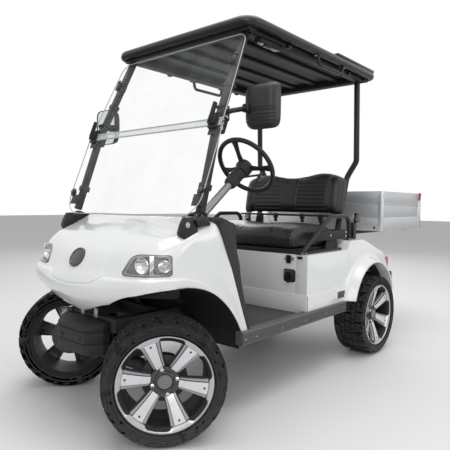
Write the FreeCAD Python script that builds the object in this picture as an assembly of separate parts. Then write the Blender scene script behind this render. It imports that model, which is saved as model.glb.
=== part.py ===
import FreeCAD, Part
import math
import os

# Two-seat golf cart with an aluminium cargo box behind the seat, in millimetres.
# X points forward, Y to the left, Z up. Everything is drawn with x measured from the rear axle
# and moved by ORIGIN_SHIFT_X when it is written, so that the origin lies on the ground
# in the middle of the vehicle's outline.

V = FreeCAD.Vector

# Overall layout
WHEELBASE = 1670.0
SEAT_HALF = 416.0
SEAT_TO_SIDE = 84.0
BODY_HALF = SEAT_HALF + SEAT_TO_SIDE
ORIGIN_SHIFT_X = -483.6
SEAT_GAP = 0.3

# Wheels
TYRE_R = 252.0
TYRE_HALF_WIDTH = 105.0
BEAD_R = 182.0
RIM_WALL = 9.0
RIM_FLANGE_R = 196.0
RIM_HALF_WIDTH = 94.0
SPOKES = 6
SPOKE_HALF_INNER = 21.0
SPOKE_HALF_OUTER = 31.0
HUB_R = 66.0
HUB_BACK_Y = 10.0
CAP_R = 30.0
REAR_WHEEL_Y = BODY_HALF - 4.0

# Steering, drawn as it stands in the rest pose: both front wheels turned right
KINGPIN_Y = BODY_HALF - 137.0
WHEEL_OFFSET = 80.0
REST_STEER = 39.0
DRUM_R = 95.0
DRUM_DEPTH = 42.0
STEER_ARM = 100.0

# Frame and floor
RAIL_Y = BODY_HALF - 335.0
RAIL_WIDTH = 50.0
RAIL_HEIGHT = 60.0
RAIL_LOW_Z = 288.0
RAIL_HIGH_Z = 400.0
RAIL_FRONT_X = WHEELBASE + 120.0
FLOOR_THICKNESS = 12.0
FLOOR_FRONT_X = WHEELBASE - 408.0
FLOOR_TOP_Z = RAIL_LOW_Z + RAIL_HEIGHT + FLOOR_THICKNESS
SILL_OUTER_Y = BODY_HALF + 17.0
SILL_INNER_Y = BODY_HALF - 29.0
SILL_REAR_X = 305.0
SILL_FRONT_X = WHEELBASE - 349.0
SILL_BOTTOM_Z = 311.0
SILL_TOP_Z = 375.0

# Body panels
PANEL = 5.0
SEAT_BOX_X = 746.0
DECK_Z = 684.0
FENDER_TOP_Z = 741.0
FENDER_FRONT_X = 240.0
FENDER_CREST_X = 52.0
FENDER_SHOULDER_X = -273.0
FENDER_SHOULDER_Z = 631.0
FENDER_TAIL_Z = 497.0
TAIL_X = -367.0
RAIL_REAR_X = TAIL_X + 27.0
ARCH_R = 288.0
ARCH_X = -5.0
ARCH_Z = 300.0
LIP_OUT = 66.0
DECK_INNER_Y = BODY_HALF - 76.0

# Seat
LID_THICKNESS = 12.0
SEAT_REAR_X = 240.0
SEAT_FRONT_X = 765.0
CUSHION_HEIGHT = 128.0

# Struts and roof
STRUT_FOOT_Y = BODY_HALF - 38.0
STRUT_BEND_Y = BODY_HALF - 58.0
STRUT_HEAD_Y = BODY_HALF - 82.0
STRUT_WIDTH = 32.0
REAR_STRUT_Y = BODY_HALF - 98.0
REAR_STRUT_R = 19.0
ROOF_REAR_X = -88.0
ROOF_FRONT_X = WHEELBASE - 385.0
ROOF_HALF = BODY_HALF + 3.0
ROOF_EDGE_Z = 1789.0
ROOF_EDGE = 42.0
ROOF_CROWN = 12.0
ROOF_BAND = 14.0
ROOF_BAND_X = 430.0

# Cargo box
BOX_FRONT_X = -239.0
BOX_REAR_X = -1015.0
BOX_HALF = 492.0
BOX_BOTTOM_Z = 782.0
BOX_TOP_Z = 1063.0
BOX_WALL = 24.0
BOX_FLOOR = 20.0


def path_wire(corners, closed=False):
    """Straight runs between corners (point, radius), each corner rounded by a tangent arc."""
    count = len(corners)
    runs = []
    for index, (here, radius) in enumerate(corners):
        end_point = not closed and index in (0, count - 1)
        if radius == 0 or end_point:
            runs.append((here, None, here))
            continue
        back = (corners[index - 1][0] - here).normalize()
        ahead = (corners[(index + 1) % count][0] - here).normalize()
        half_turn = back.getAngle(ahead) / 2
        cut = radius / math.tan(half_turn)
        middle = here + (back + ahead).normalize() * (radius / math.sin(half_turn) - radius)
        runs.append((here + back * cut, middle, here + ahead * cut))
    edges = []
    for index, (start, middle, end) in enumerate(runs):
        if middle is not None:
            edges.append(Part.Arc(start, middle, end).toShape())
        if index < count - 1 or closed:
            following = runs[(index + 1) % count][0]
            if end.distanceToPoint(following) > 0.001:
                edges.append(Part.LineSegment(end, following).toShape())
    return Part.Wire(edges)


def side_prism(corners, y_low, y_high):
    """A side view outline of corners (x, z, radius), drawn out across the vehicle."""
    wire = path_wire([(V(x, y_low, z), r) for x, z, r in corners], True)
    return Part.Face(wire).extrude(V(0, y_high - y_low, 0))


def plan_prism(corners, z_low, z_high):
    """A plan view outline of corners (x, y, radius), drawn up."""
    wire = path_wire([(V(x, y, z_low), r) for x, y, r in corners], True)
    return Part.Face(wire).extrude(V(0, 0, z_high - z_low))


def front_prism(corners, x_low, x_high):
    """A front view outline of corners (y, z, radius), drawn along the vehicle."""
    wire = path_wire([(V(x_low, y, z), r) for y, z, r in corners], True)
    return Part.Face(wire).extrude(V(x_high - x_low, 0, 0))


def block(x_low, x_high, y_low, y_high, z_low, z_high):
    return Part.makeBox(x_high - x_low, y_high - y_low, z_high - z_low, V(x_low, y_low, z_low))


def rod(start, end, radius):
    along = end - start
    return Part.makeCylinder(radius, along.Length, start, along)


def bent_tube(corners, radius):
    """A round tube along corners (point, bend radius)."""
    path = path_wire(corners)
    along = corners[1][0] - corners[0][0]
    section = Part.Wire([Part.makeCircle(radius, corners[0][0], along)])
    return path.makePipeShell([section], True, False)


def turned_about_y(profile):
    """A ring or disc turned about the Y axis from corners (radius, y)."""
    points = [V(r, y, 0) for r, y in profile]
    face = Part.Face(Part.makePolygon(points + [points[0]]))
    return face.revolve(V(0, 0, 0), V(0, 1, 0), 360)


def fused(shapes):
    result = shapes[0].multiFuse(shapes[1:]) if len(shapes) > 1 else shapes[0]
    return result.removeSplitter()


def both_sides(shape):
    """The shape and its mirror image on the other side of the vehicle."""
    return Part.makeCompound([shape, other_side(shape)])


def other_side(shape):
    return shape.mirror(V(0, 0, 0), V(0, 1, 0))


def write(name, shape):
    placed = shape.copy()
    placed.translate(V(ORIGIN_SHIFT_X, 0, 0))
    placed.exportStep("parts/" + name + ".step")


# Wheels: low-profile tyres on six-spoke alloy rims

def tyre():
    bead_half = RIM_HALF_WIDTH - 14
    return turned_about_y([
        (BEAD_R + SEAT_GAP, bead_half),
        (TYRE_R, TYRE_HALF_WIDTH),
        (TYRE_R, -TYRE_HALF_WIDTH),
        (BEAD_R + SEAT_GAP, -bead_half),
    ])


def rim():
    inner = BEAD_R - RIM_WALL
    flange = RIM_HALF_WIDTH
    barrel = turned_about_y([
        (inner, flange),
        (RIM_FLANGE_R, flange),
        (BEAD_R, flange - 13),
        (BEAD_R, 13 - flange),
        (RIM_FLANGE_R, -flange),
        (inner, -flange),
    ])
    dish = turned_about_y([
        (0, HUB_BACK_Y + 22),
        (HUB_R, HUB_BACK_Y + 22),
        (inner + 2, flange - 36),
        (inner + 2, flange - 6),
        (HUB_R, HUB_BACK_Y + 42),
        (0, HUB_BACK_Y + 42),
    ])
    arms = []
    for index in range(SPOKES):
        arm = side_prism([
            (0, SPOKE_HALF_INNER - 4, 0),
            (inner + 1, SPOKE_HALF_OUTER, 0),
            (inner + 1, -SPOKE_HALF_OUTER, 0),
            (0, 4 - SPOKE_HALF_INNER, 0),
        ], 0, flange)
        arm.rotate(V(0, 0, 0), V(0, 1, 0), index * 360 / SPOKES)
        arms.append(arm)
    star = arms[0].multiFuse(arms[1:]).common(dish)
    hub = turned_about_y([
        (0, HUB_BACK_Y),
        (HUB_R - 6, HUB_BACK_Y),
        (HUB_R, HUB_BACK_Y + 36),
        (CAP_R, HUB_BACK_Y + 44),
        (CAP_R, HUB_BACK_Y + 52),
        (0, HUB_BACK_Y + 52),
    ])
    return fused([barrel, star, hub])


def set_wheel(shape, side, axle_x, axle_y, steer):
    """Place a wheel drawn about Y, its outer face away from the vehicle."""
    placed = shape.copy()
    if side < 0:
        placed = other_side(placed)
    placed.rotate(V(0, 0, 0), V(0, 0, 1), -steer)
    placed.translate(V(axle_x, axle_y, TYRE_R))
    return placed


def front_hub(side):
    """Centre of a front wheel, carried outboard of its kingpin and turned with it."""
    turn = math.radians(REST_STEER)
    along_x = side * WHEEL_OFFSET * math.sin(turn)
    along_y = side * WHEEL_OFFSET * math.cos(turn)
    return WHEELBASE + along_x, side * KINGPIN_Y + along_y


def wheels():
    tyre_shape = tyre()
    rim_shape = rim()
    for side, name in ((1, "left"), (-1, "right")):
        x, y = front_hub(side)
        write("tyre_front_" + name, set_wheel(tyre_shape, side, x, y, REST_STEER))
        write("rim_front_" + name, set_wheel(rim_shape, side, x, y, REST_STEER))
        write("tyre_rear_" + name, set_wheel(tyre_shape, side, 0, side * REAR_WHEEL_Y, 0))
        write("rim_rear_" + name, set_wheel(rim_shape, side, 0, side * REAR_WHEEL_Y, 0))


# Front axle: beam, kingpins, knuckles and tie rod

BEAM_R = 24.0
PIN_R = 17.0
BOSS_R = 24.0
BOSS_HALF = 45.0
EAR = 14.0
KNUCKLE_GAP = 1.0
PIN_FIT = 0.05
TIE_ROD_R = 9.0
SPINDLE_R = 30.0


def front_beam():
    boss = rod(V(WHEELBASE, KINGPIN_Y, TYRE_R - BOSS_HALF), V(WHEELBASE, KINGPIN_Y, TYRE_R + BOSS_HALF), BOSS_R)
    pin_half = BOSS_HALF + KNUCKLE_GAP + EAR
    pin = rod(V(WHEELBASE, KINGPIN_Y, TYRE_R - pin_half), V(WHEELBASE, KINGPIN_Y, TYRE_R + pin_half), PIN_R)
    beam = rod(V(WHEELBASE, 0, TYRE_R), V(WHEELBASE, KINGPIN_Y, TYRE_R), BEAM_R)
    half = fused([boss, pin, beam])
    plate = block(WHEELBASE - 45, WHEELBASE + 45, -RAIL_Y - 25, RAIL_Y + 25, TYRE_R + BEAM_R - 6, RAIL_HIGH_Z - SEAT_GAP)
    tower = plate.cut(block(WHEELBASE - 50, WHEELBASE + 50, -RAIL_Y + 20, RAIL_Y - 20, 0, RAIL_HIGH_Z))
    return fused([half, other_side(half), tower])


def knuckle(side):
    """Forked knuckle round the kingpin, with its brake drum and steering arm, wheels straight."""
    reach = KNUCKLE_GAP + BOSS_R
    face = WHEEL_OFFSET + HUB_BACK_Y - SEAT_GAP
    low = TYRE_R - BOSS_HALF - KNUCKLE_GAP - EAR
    high = TYRE_R + BOSS_HALF + KNUCKLE_GAP
    pieces = []
    for z in (low, high):
        ear = fused([
            rod(V(0, 0, z), V(0, 0, z + EAR), BOSS_R),
            block(-BOSS_R, BOSS_R, 0, reach + 14, z, z + EAR),
        ])
        pieces.append(ear)
    pieces.append(block(-BOSS_R, BOSS_R, reach + 2, reach + 14, low, high + EAR))
    pieces.append(rod(V(0, face - DRUM_DEPTH, TYRE_R), V(0, face, TYRE_R), DRUM_R))
    pieces.append(rod(V(0, reach + 8, TYRE_R), V(0, face - 2, TYRE_R), SPINDLE_R))
    arm_tip = rod(V(-STEER_ARM, 0, low), V(-STEER_ARM, 0, low + EAR), 16)
    pieces.append(arm_tip)
    pieces.append(block(-STEER_ARM, 0, -12, 12, low, low + EAR))
    shape = fused(pieces)
    bore = rod(V(0, 0, 0), V(0, 0, 2 * TYRE_R), PIN_R + PIN_FIT)
    shape = shape.cut(bore)
    if side < 0:
        shape = other_side(shape)
    shape.rotate(V(0, 0, 0), V(0, 0, 1), -REST_STEER)
    shape.translate(V(WHEELBASE, side * KINGPIN_Y, 0))
    return shape


def tie_rod():
    """Cross rod under both steering arms, a pad at each end below the arm's tip."""
    turn = math.radians(REST_STEER)
    x = WHEELBASE - STEER_ARM * math.cos(turn)
    shift = STEER_ARM * math.sin(turn)
    top = TYRE_R - BOSS_HALF - KNUCKLE_GAP - EAR - SEAT_GAP
    rod_z = top - TIE_ROD_R - 2
    pieces = [rod(V(x, shift - KINGPIN_Y, rod_z), V(x, shift + KINGPIN_Y, rod_z), TIE_ROD_R)]
    for side in (1, -1):
        y = side * KINGPIN_Y + shift
        pieces.append(rod(V(x, y, rod_z - TIE_ROD_R - 3), V(x, y, top), 14))
    return fused(pieces)


def front_shocks():
    """A coil-over damper each side, from the beam up to the rail."""
    foot = V(WHEELBASE, KINGPIN_Y - 95, TYRE_R + BEAM_R - 6)
    head = V(WHEELBASE, RAIL_Y + RAIL_WIDTH / 2 + 27, RAIL_HIGH_Z + 28)
    middle = foot + (head - foot) * 0.45
    coil = rod(middle, head, 24)
    stem = rod(foot, middle, 14)
    trimmed = fused([coil, stem]).cut(block(WHEELBASE - 60, WHEELBASE + 60, 0, RAIL_Y + RAIL_WIDTH / 2 + SEAT_GAP, 0, 600))
    trimmed = trimmed.cut(rod(V(WHEELBASE, 0, TYRE_R), V(WHEELBASE, KINGPIN_Y, TYRE_R), BEAM_R + SEAT_GAP))
    return both_sides(trimmed)


# Rear axle with its motor, and the leaf springs

AXLE_R = 36.0
SPRING_Y = BODY_HALF - 170.0
SPRING_HALF = -TAIL_X - 32.0
LEAF_WIDTH = 58.0
LEAF = 8.0


def rear_axle():
    drum_face = REAR_WHEEL_Y + HUB_BACK_Y - SEAT_GAP
    tube = rod(V(0, -drum_face, TYRE_R), V(0, drum_face, TYRE_R), AXLE_R)
    gears = rod(V(0, -20, TYRE_R), V(0, 90, TYRE_R), 105)
    motor = rod(V(155, 40 - SPRING_Y, TYRE_R + 10), V(155, 60, TYRE_R + 10), 82)
    casing = side_prism([
        (-60, TYRE_R - 80, 20), (200, TYRE_R - 60, 30), (200, TYRE_R + 80, 30), (-60, TYRE_R + 80, 20),
    ], -10, 55)
    pieces = [tube, gears, motor, casing]
    for side in (1, -1):
        pieces.append(rod(V(0, side * (drum_face - DRUM_DEPTH), TYRE_R), V(0, side * drum_face, TYRE_R), DRUM_R))
    return fused(pieces)


def leaf_springs():
    """Three leaves a side above the axle, bowed down in the middle, with an eye at each end."""
    seat_z = TYRE_R + AXLE_R + SEAT_GAP
    pieces = []
    for step, share in ((0, 1.0), (1, 0.72), (2, 0.45)):
        half = SPRING_HALF * share
        low = seat_z + 6 + (2 - step) * LEAF
        rise = 36 * share * share
        bottom = Part.Arc(V(-half, 0, low + rise), V(0, 0, low), V(half, 0, low + rise)).toShape()
        top = Part.Arc(V(-half, 0, low + rise + LEAF), V(0, 0, low + LEAF), V(half, 0, low + rise + LEAF)).toShape()
        ends = [
            Part.LineSegment(V(-half, 0, low + rise), V(-half, 0, low + rise + LEAF)).toShape(),
            Part.LineSegment(V(half, 0, low + rise), V(half, 0, low + rise + LEAF)).toShape(),
        ]
        outline = Part.Wire(Part.__sortEdges__([bottom, ends[0], top, ends[1]]))
        leaf = Part.Face(outline).extrude(V(0, LEAF_WIDTH, 0))
        pieces.append(leaf)
    eye_z = seat_z + 6 + 2 * LEAF + 36 + LEAF / 2
    for x in (-SPRING_HALF, SPRING_HALF):
        pieces.append(rod(V(x, 0, eye_z), V(x, LEAF_WIDTH, eye_z), 15))
    saddle = block(-45, 45, -6, LEAF_WIDTH + 6, seat_z, seat_z + 8)
    clamp = block(-38, 38, 0, LEAF_WIDTH, seat_z + 24, seat_z + 42)
    spring = fused(pieces + [saddle, clamp])
    spring.translate(V(0, SPRING_Y - LEAF_WIDTH / 2, 0))
    return both_sides(spring)


# Frame, floor and sills

CROSS = 40.0


def rail_outline():
    low = RAIL_LOW_Z
    high = RAIL_HIGH_Z
    return [
        (RAIL_REAR_X, high, 0),
        (150, high, 60),
        (250, low, 60),
        (WHEELBASE - 345, low, 60),
        (WHEELBASE - 225, high, 60),
        (RAIL_FRONT_X, high, 0),
        (RAIL_FRONT_X, high + RAIL_HEIGHT, 0),
        (WHEELBASE - 245, high + RAIL_HEIGHT, 60),
        (WHEELBASE - 365, low + RAIL_HEIGHT, 60),
        (270, low + RAIL_HEIGHT, 60),
        (170, high + RAIL_HEIGHT, 60),
        (RAIL_REAR_X, high + RAIL_HEIGHT, 0),
    ]


def frame_rails():
    rail = side_prism(rail_outline(), RAIL_Y - RAIL_WIDTH / 2, RAIL_Y + RAIL_WIDTH / 2)
    return both_sides(rail)


def cross_members():
    """Box tubes between the rails, and outriggers from the rails to the springs and sills."""
    inner = RAIL_Y - RAIL_WIDTH / 2
    outer = RAIL_Y + RAIL_WIDTH / 2
    low = RAIL_LOW_Z
    high = RAIL_HIGH_Z
    # columns: x, underside z, reach of the outrigger (0 for none)
    table = (
        (RAIL_REAR_X, high, BODY_HALF - 100),
        (SPRING_HALF + 35, low, SILL_INNER_Y),
        (760, low, SILL_INNER_Y),
        (FLOOR_FRONT_X - 47, low, SILL_INNER_Y),
        (WHEELBASE - 195, high, 0),
        (WHEELBASE + 75, high, 0),
    )
    pieces = []
    for x, z, reach in table:
        pieces.append(block(x, x + CROSS, -inner, inner, z, z + RAIL_HEIGHT))
        if reach:
            arm = block(x, x + CROSS, outer, reach, z, z + RAIL_HEIGHT)
            pieces.extend([arm, other_side(arm)])
    return Part.makeCompound(pieces)


def spring_hangers():
    """Plates that hang the spring eyes from the cross members."""
    eye_z = TYRE_R + AXLE_R + SEAT_GAP + 6 + 2 * LEAF + 36 + LEAF / 2
    plates = []
    for y in (SPRING_Y - LEAF_WIDTH / 2 - 6, SPRING_Y + LEAF_WIDTH / 2):
        plates.append(block(SPRING_HALF - 12, SPRING_HALF + 35, y, y + 6, eye_z - 22, RAIL_LOW_Z + RAIL_HEIGHT))
        plates.append(block(-SPRING_HALF - 14, -SPRING_HALF + 14, y, y + 6, eye_z - 20, RAIL_HIGH_Z))
    return both_sides(Part.makeCompound(plates))


def floor_pan():
    """Flat floor plate with a raised toe board edge; it also carries the battery."""
    return block(SPRING_HALF + 37, FLOOR_FRONT_X, -SILL_INNER_Y, SILL_INNER_Y, FLOOR_TOP_Z - FLOOR_THICKNESS, FLOOR_TOP_Z)


def sills():
    """Ribbed sill moulding: four grooves run along its outer face."""
    outline = [
        (SILL_INNER_Y, SILL_BOTTOM_Z, 0),
        (SILL_OUTER_Y, SILL_BOTTOM_Z, 5),
        (SILL_OUTER_Y, SILL_TOP_Z, 8),
        (SILL_INNER_Y, SILL_TOP_Z, 0),
    ]
    sill = front_prism(outline, SILL_REAR_X, SILL_FRONT_X)
    for index in range(4):
        z = SILL_BOTTOM_Z + 12 + index * 12
        sill = sill.cut(block(SILL_REAR_X, SILL_FRONT_X, SILL_OUTER_Y - 3, SILL_OUTER_Y + 1, z, z + 4))
    return both_sides(sill)


def battery_pack():
    half = SEAT_HALF - 96
    return block(SPRING_HALF + 60, 690, -half, half, FLOOR_TOP_Z + SEAT_GAP, FLOOR_TOP_Z + 250)


# Front cowl and what is set into it

def cowl_loft(inset, back):
    """Body of the cowl from level outlines; inset moves every wall inwards."""
    # Each x is measured from the front axle, each side inwards from the widest part of the body.
    # columns: z, rear x, side, corner x, corner side, corner radius, nose x, nose radius
    table = (
        (SILL_TOP_Z - 8, -404, 0, 0, 14, 200, 136, 800),
        (472, -361, 0, 52, 22, 210, 180, 800),
        (530, -339, 1, 96, 26, 212, 236, 800),
        (583, -319, 2, 138, 26, 185, 269, 800),
        (630, -301, 3, 150, 24, 155, 251, 800),
        (670, -286, 4, 138, 24, 138, 221, 800),
        (745, -257, 9, 94, 25, 130, 179, 800),
        (785, -242, 11, 59, 26, 125, 130, 800),
        (818, -228, 13, 8, 29, 118, 80, 800),
        (850, -212, 18, -76, 44, 88, 31, 740),
        (875, -196, 28, -130, 62, 50, -20, 640),
        (898, -158, 80, -148, 120, 9, -93, 460),
    )
    sections = []
    for z, rear, side, corner, corner_side, radius, nose, nose_radius in table:
        level = z - inset
        rear_x = WHEELBASE + rear
        corner_x = WHEELBASE + corner
        nose_x = WHEELBASE + nose
        half = BODY_HALF - side
        corner_half = BODY_HALF - corner_side
        corners = [
            (V(rear_x - back, -(half - inset), level), 0),
            (V(corner_x - inset, -(corner_half - inset), level), radius),
            (V(nose_x - inset, 0, level), nose_radius),
            (V(corner_x - inset, corner_half - inset, level), radius),
            (V(rear_x - back, half - inset, level), 0),
        ]
        sections.append(path_wire(corners, True))
    return Part.makeLoft(sections, True, True)


def front_cowl():
    shell = cowl_loft(0, 0).cut(cowl_loft(PANEL, 80))
    arch = side_prism([
        (WHEELBASE - 372, 300, 0),
        (WHEELBASE - 365, 362, 60),
        (WHEELBASE - 215, 565, 160),
        (WHEELBASE - 30, 630, 260),
        (WHEELBASE + 110, 622, 200),
        (WHEELBASE + 192, 560, 60),
        (WHEELBASE + 210, 500, 0),
        (WHEELBASE + 330, 470, 0),
        (WHEELBASE + 330, 300, 0),
    ], BODY_HALF - 310, BODY_HALF + 200)
    chin = front_prism([
        (0, 472, 0),
        (90, 476, 80),
        (200, 540, 120),
        (360, 585, 200),
        (800, 590, 0),
        (800, 300, 0),
        (0, 300, 0),
    ], WHEELBASE - 70, WHEELBASE + 330)
    lamps = lamp_aperture(1.0)
    for cutter in (arch, chin, lamps):
        shell = shell.cut(cutter).cut(other_side(cutter))
    half = BODY_HALF - 60
    behind = block(WHEELBASE - 470, WHEELBASE - 30, -half, half, 300, 600)
    below = block(WHEELBASE - 470, WHEELBASE + 230, -BODY_HALF - 200, BODY_HALF + 200, 300, SILL_TOP_Z + SEAT_GAP)
    return shell.cut(behind).cut(below)


def front_bumper():
    """Narrow moulded bumper with a chamfered top band and two grooves."""
    low = 308
    high = 448
    rear = RAIL_FRONT_X + SEAT_GAP
    shoulder = RAIL_FRONT_X + 34
    front = RAIL_FRONT_X + 96
    half = RAIL_Y - 7
    nose = RAIL_Y - 49
    plan = [
        (front, -nose, 50), (front, nose, 50), (shoulder, half, 25),
        (rear, half, 0), (rear, -half, 0), (shoulder, -half, 25),
    ]
    body = plan_prism(plan, low, high)
    slope = side_prism([
        (shoulder - 12, high + 1, 0), (front + 24, high + 1, 0), (front + 24, high - 40, 0), (front - 26, high - 18, 0),
    ], -230, 230)
    body = body.cut(slope)
    for z in (high - 44, low + 44):
        band = plan_prism([
            (front - 5, 2 - nose, 46), (front - 5, nose - 2, 46), (shoulder - 2, half - 4, 23),
            (rear - 90, half - 4, 0), (rear - 90, 4 - half, 0), (shoulder - 2, 4 - half, 23),
        ], z, z + 5)
        ring = block(rear - 10, front + 14, -230, 230, z, z + 5).cut(band)
        body = body.cut(ring)
    return body


LAMP_DEPTH = 55.0
LAMP_LOW_Z = 666.0
LAMP_HIGH_Z = 757.0
LAMP_LOW_INNER_Y = BODY_HALF - 207.0
LAMP_HIGH_INNER_Y = BODY_HALF - 182.0


def lamp_aperture(gap):
    """Opening of the left lamp in the cowl, widened by a gap all round; its inner edge leans outwards."""
    side_view = side_prism([
        (WHEELBASE + 46 - gap, LAMP_LOW_Z - gap, 12),
        (WHEELBASE + 330, LAMP_LOW_Z - gap, 0),
        (WHEELBASE + 330, LAMP_HIGH_Z + gap, 0),
        (WHEELBASE + 50 - gap, LAMP_HIGH_Z - 4 + gap, 14),
    ], LAMP_LOW_INNER_Y - 53, BODY_HALF + 200)
    front_view = front_prism([
        (LAMP_LOW_INNER_Y - gap, LAMP_LOW_Z - gap, 14),
        (LAMP_HIGH_INNER_Y - gap, LAMP_HIGH_Z + gap, 14),
        (BODY_HALF + 200, LAMP_HIGH_Z + gap, 0),
        (BODY_HALF + 200, LAMP_LOW_Z - gap, 0),
    ], WHEELBASE - 170, WHEELBASE + 330)
    return side_view.common(front_view)


def headlamps():
    """Wrap-round lamp: the cowl's own corner, cut to the lens outline and hollow behind."""
    corner = cowl_loft(0, 0).common(lamp_aperture(0))
    inner = LAMP_LOW_INNER_Y - 53
    outer = BODY_HALF - 85
    deep = WHEELBASE + 180 - LAMP_DEPTH
    behind = plan_prism([
        (WHEELBASE - 170, inner, 0), (deep, inner, 0), (deep, LAMP_HIGH_INNER_Y - 6, 0),
        (deep - 130, outer, 0), (WHEELBASE - 170, outer, 0),
    ], LAMP_LOW_Z - 53, LAMP_HIGH_Z + 50)
    return both_sides(corner.cut(behind))


# Dashboard, cowl trims and steering

def dashboard():
    """Toe board, knee panel and dash top behind the cowl, with a glove tray each side."""
    outline = [
        (FLOOR_FRONT_X + 1, FLOOR_TOP_Z + SEAT_GAP, 0),
        (FLOOR_FRONT_X - 16, FLOOR_TOP_Z + SEAT_GAP, 0),
        (WHEELBASE - 314, 690, 60),
        (WHEELBASE - 350, 760, 15),
        (WHEELBASE - 340, 868, 20),
        (WHEELBASE - 240, 902, 30),
        (WHEELBASE - 159, 902, 0),
        (WHEELBASE - 200, 873, 0),
    ]
    panel = side_prism(outline, SEAT_GAP - SILL_INNER_Y, SILL_INNER_Y - SEAT_GAP)
    panel = panel.cut(cowl_loft(-SEAT_GAP, SEAT_GAP))
    for low, high in ((70, 200), (-220, -60), (31 - SILL_INNER_Y, -260)):
        pocket = block(WHEELBASE - 360, WHEELBASE - 265, low, high, 780, 856)
        panel = panel.cut(pocket)
    return panel


def cowl_trims():
    """Dark panel behind the cowl's rear edge, deep at the top and narrow at the floor."""
    outline = [
        (WHEELBASE - 406, 377, 0),
        (WHEELBASE - 202, 874, 0),
        (WHEELBASE - 248, 885, 20),
        (WHEELBASE - 294, 842, 40),
        (WHEELBASE - 342, 688, 40),
        (WHEELBASE - 356, 608, 30),
        (WHEELBASE - 422, 377, 0),
    ]
    trim = side_prism(outline, SILL_INNER_Y, BODY_HALF - 4).cut(cowl_loft(-SEAT_GAP, SEAT_GAP))
    return both_sides(trim)


COLUMN_TILT = 38.0
COLUMN_Y = SEAT_HALF - 148.0
WHEEL_X = WHEELBASE - 662.0
WHEEL_Z = 1164.0
STEERING_WHEEL_R = 174.0
GRIP_R = 13.0
HUB_DEPTH = 56.0
SPIGOT_R = 12.0
SPIGOT_LENGTH = 20.0


def column_point(distance):
    """A point on the steering axis, measured from the wheel's centre down towards the dash."""
    tilt = math.radians(COLUMN_TILT)
    return V(WHEEL_X + distance * math.cos(tilt), COLUMN_Y, WHEEL_Z - distance * math.sin(tilt))


def steering_column():
    tube = rod(column_point(62), column_point(470), 24)
    shroud = rod(column_point(62), column_point(190), 42)
    stalk = rod(column_point(110) + V(0, 30, 0), column_point(110) + V(0, 150, 10), 7)
    spigot = rod(column_point(HUB_DEPTH - SPIGOT_LENGTH), column_point(70), SPIGOT_R)
    column = fused([tube, shroud, stalk, spigot])
    return column.cut(dashboard())


def steering_wheel():
    """Rim, three spokes and the hub pad, drawn flat and tilted onto the column."""
    middle = STEERING_WHEEL_R - GRIP_R
    around = [math.radians(22.5 + 45 * step) for step in range(8)]
    section = [(middle + GRIP_R * math.cos(a), GRIP_R * math.sin(a)) for a in around]
    ring = turned_about_y(section)
    ring.rotate(V(0, 0, 0), V(1, 0, 0), 90)
    hub = rod(V(0, 0, -HUB_DEPTH), V(0, 0, 6), 44)
    hub = hub.cut(rod(V(0, 0, -HUB_DEPTH), V(0, 0, SPIGOT_LENGTH + 1 - HUB_DEPTH), SPIGOT_R + PIN_FIT))
    spokes = []
    for angle in (0, 180, 270):
        spoke = block(30, STEERING_WHEEL_R - GRIP_R, -14, 14, -18, -6)
        spoke.rotate(V(0, 0, 0), V(0, 0, 1), angle)
        spokes.append(spoke)
    wheel = fused([ring, hub] + spokes)
    wheel.rotate(V(0, 0, 0), V(0, 1, 0), COLUMN_TILT - 90)
    wheel.translate(column_point(0))
    return wheel


def pedals():
    """Accelerator and brake pads on arms that hang from the toe board."""
    pieces = []
    x = FLOOR_FRONT_X
    for y, width in ((COLUMN_Y - 118, 62), (COLUMN_Y, 90)):
        face = [(x - 88, 420, 0), (x - 80, 416, 0), (x - 36, 500, 0), (x - 44, 504, 0)]
        bar = [(x - 68, 440, 0), (x - 60, 436, 0), (x + 48, 482, 0), (x + 48, 498, 0)]
        pad = side_prism(face, y - width / 2, y + width / 2)
        arm = side_prism(bar, y - 8, y + 8)
        pieces.append(fused([pad, arm]).cut(dashboard()))
    return Part.makeCompound(pieces)


# Rear body: quarter panels, seat box front and rear deck

def quarter_shell(inset):
    """Side outline of a quarter panel, drawn from its inner flange out to the body side."""
    outline = [
        (SEAT_BOX_X - inset, SILL_TOP_Z + SEAT_GAP - inset * 2, 0),
        (SEAT_BOX_X - inset, DECK_Z - inset, 0),
        (FENDER_FRONT_X + 32, DECK_Z + 2 - inset, 20),
        (FENDER_FRONT_X, FENDER_TOP_Z - inset, 50),
        (FENDER_CREST_X, FENDER_TOP_Z - inset, 300),
        (FENDER_SHOULDER_X + 0.66 * inset, FENDER_SHOULDER_Z - 0.84 * inset, 110),
        (TAIL_X + inset, FENDER_TAIL_Z - 0.3 * inset, 50),
        (TAIL_X + inset, 395 - inset * 2, 0),
        (-225, 395 - inset * 2, 0),
        (0, 300 - inset * 2, 0),
        (SILL_REAR_X, SILL_TOP_Z + SEAT_GAP - inset * 2, 0),
    ]
    return side_prism(outline, DECK_INNER_Y - inset * 4, BODY_HALF - inset)


def rear_quarter(side):
    solid = quarter_shell(0).cut(quarter_shell(PANEL))
    lip = side_arch(ARCH_R + 46, ARCH_R, BODY_HALF - PANEL, BODY_HALF + LIP_OUT)
    solid = fused([solid, lip])
    inner = DECK_INNER_Y - 124
    outer = BODY_HALF + 300
    well = rod(V(ARCH_X, inner, ARCH_Z), V(ARCH_X, outer, ARCH_Z), ARCH_R)
    below = block(-600, 400, inner, outer, -100, SILL_TOP_Z + SEAT_GAP)
    solid = solid.cut(well).cut(below)
    return solid if side > 0 else other_side(solid)


def side_arch(outer, inner, y_low, y_high):
    """Flared arch lip: wide where it leaves the panel, thin at its outer edge."""
    ring = turned_about_y([(inner - 1, y_low), (outer, y_low), (inner + 12, y_high), (inner - 1, y_high)])
    ring.translate(V(ARCH_X, 0, ARCH_Z))
    return ring


DECK_FRONT_X = 232.0


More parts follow.
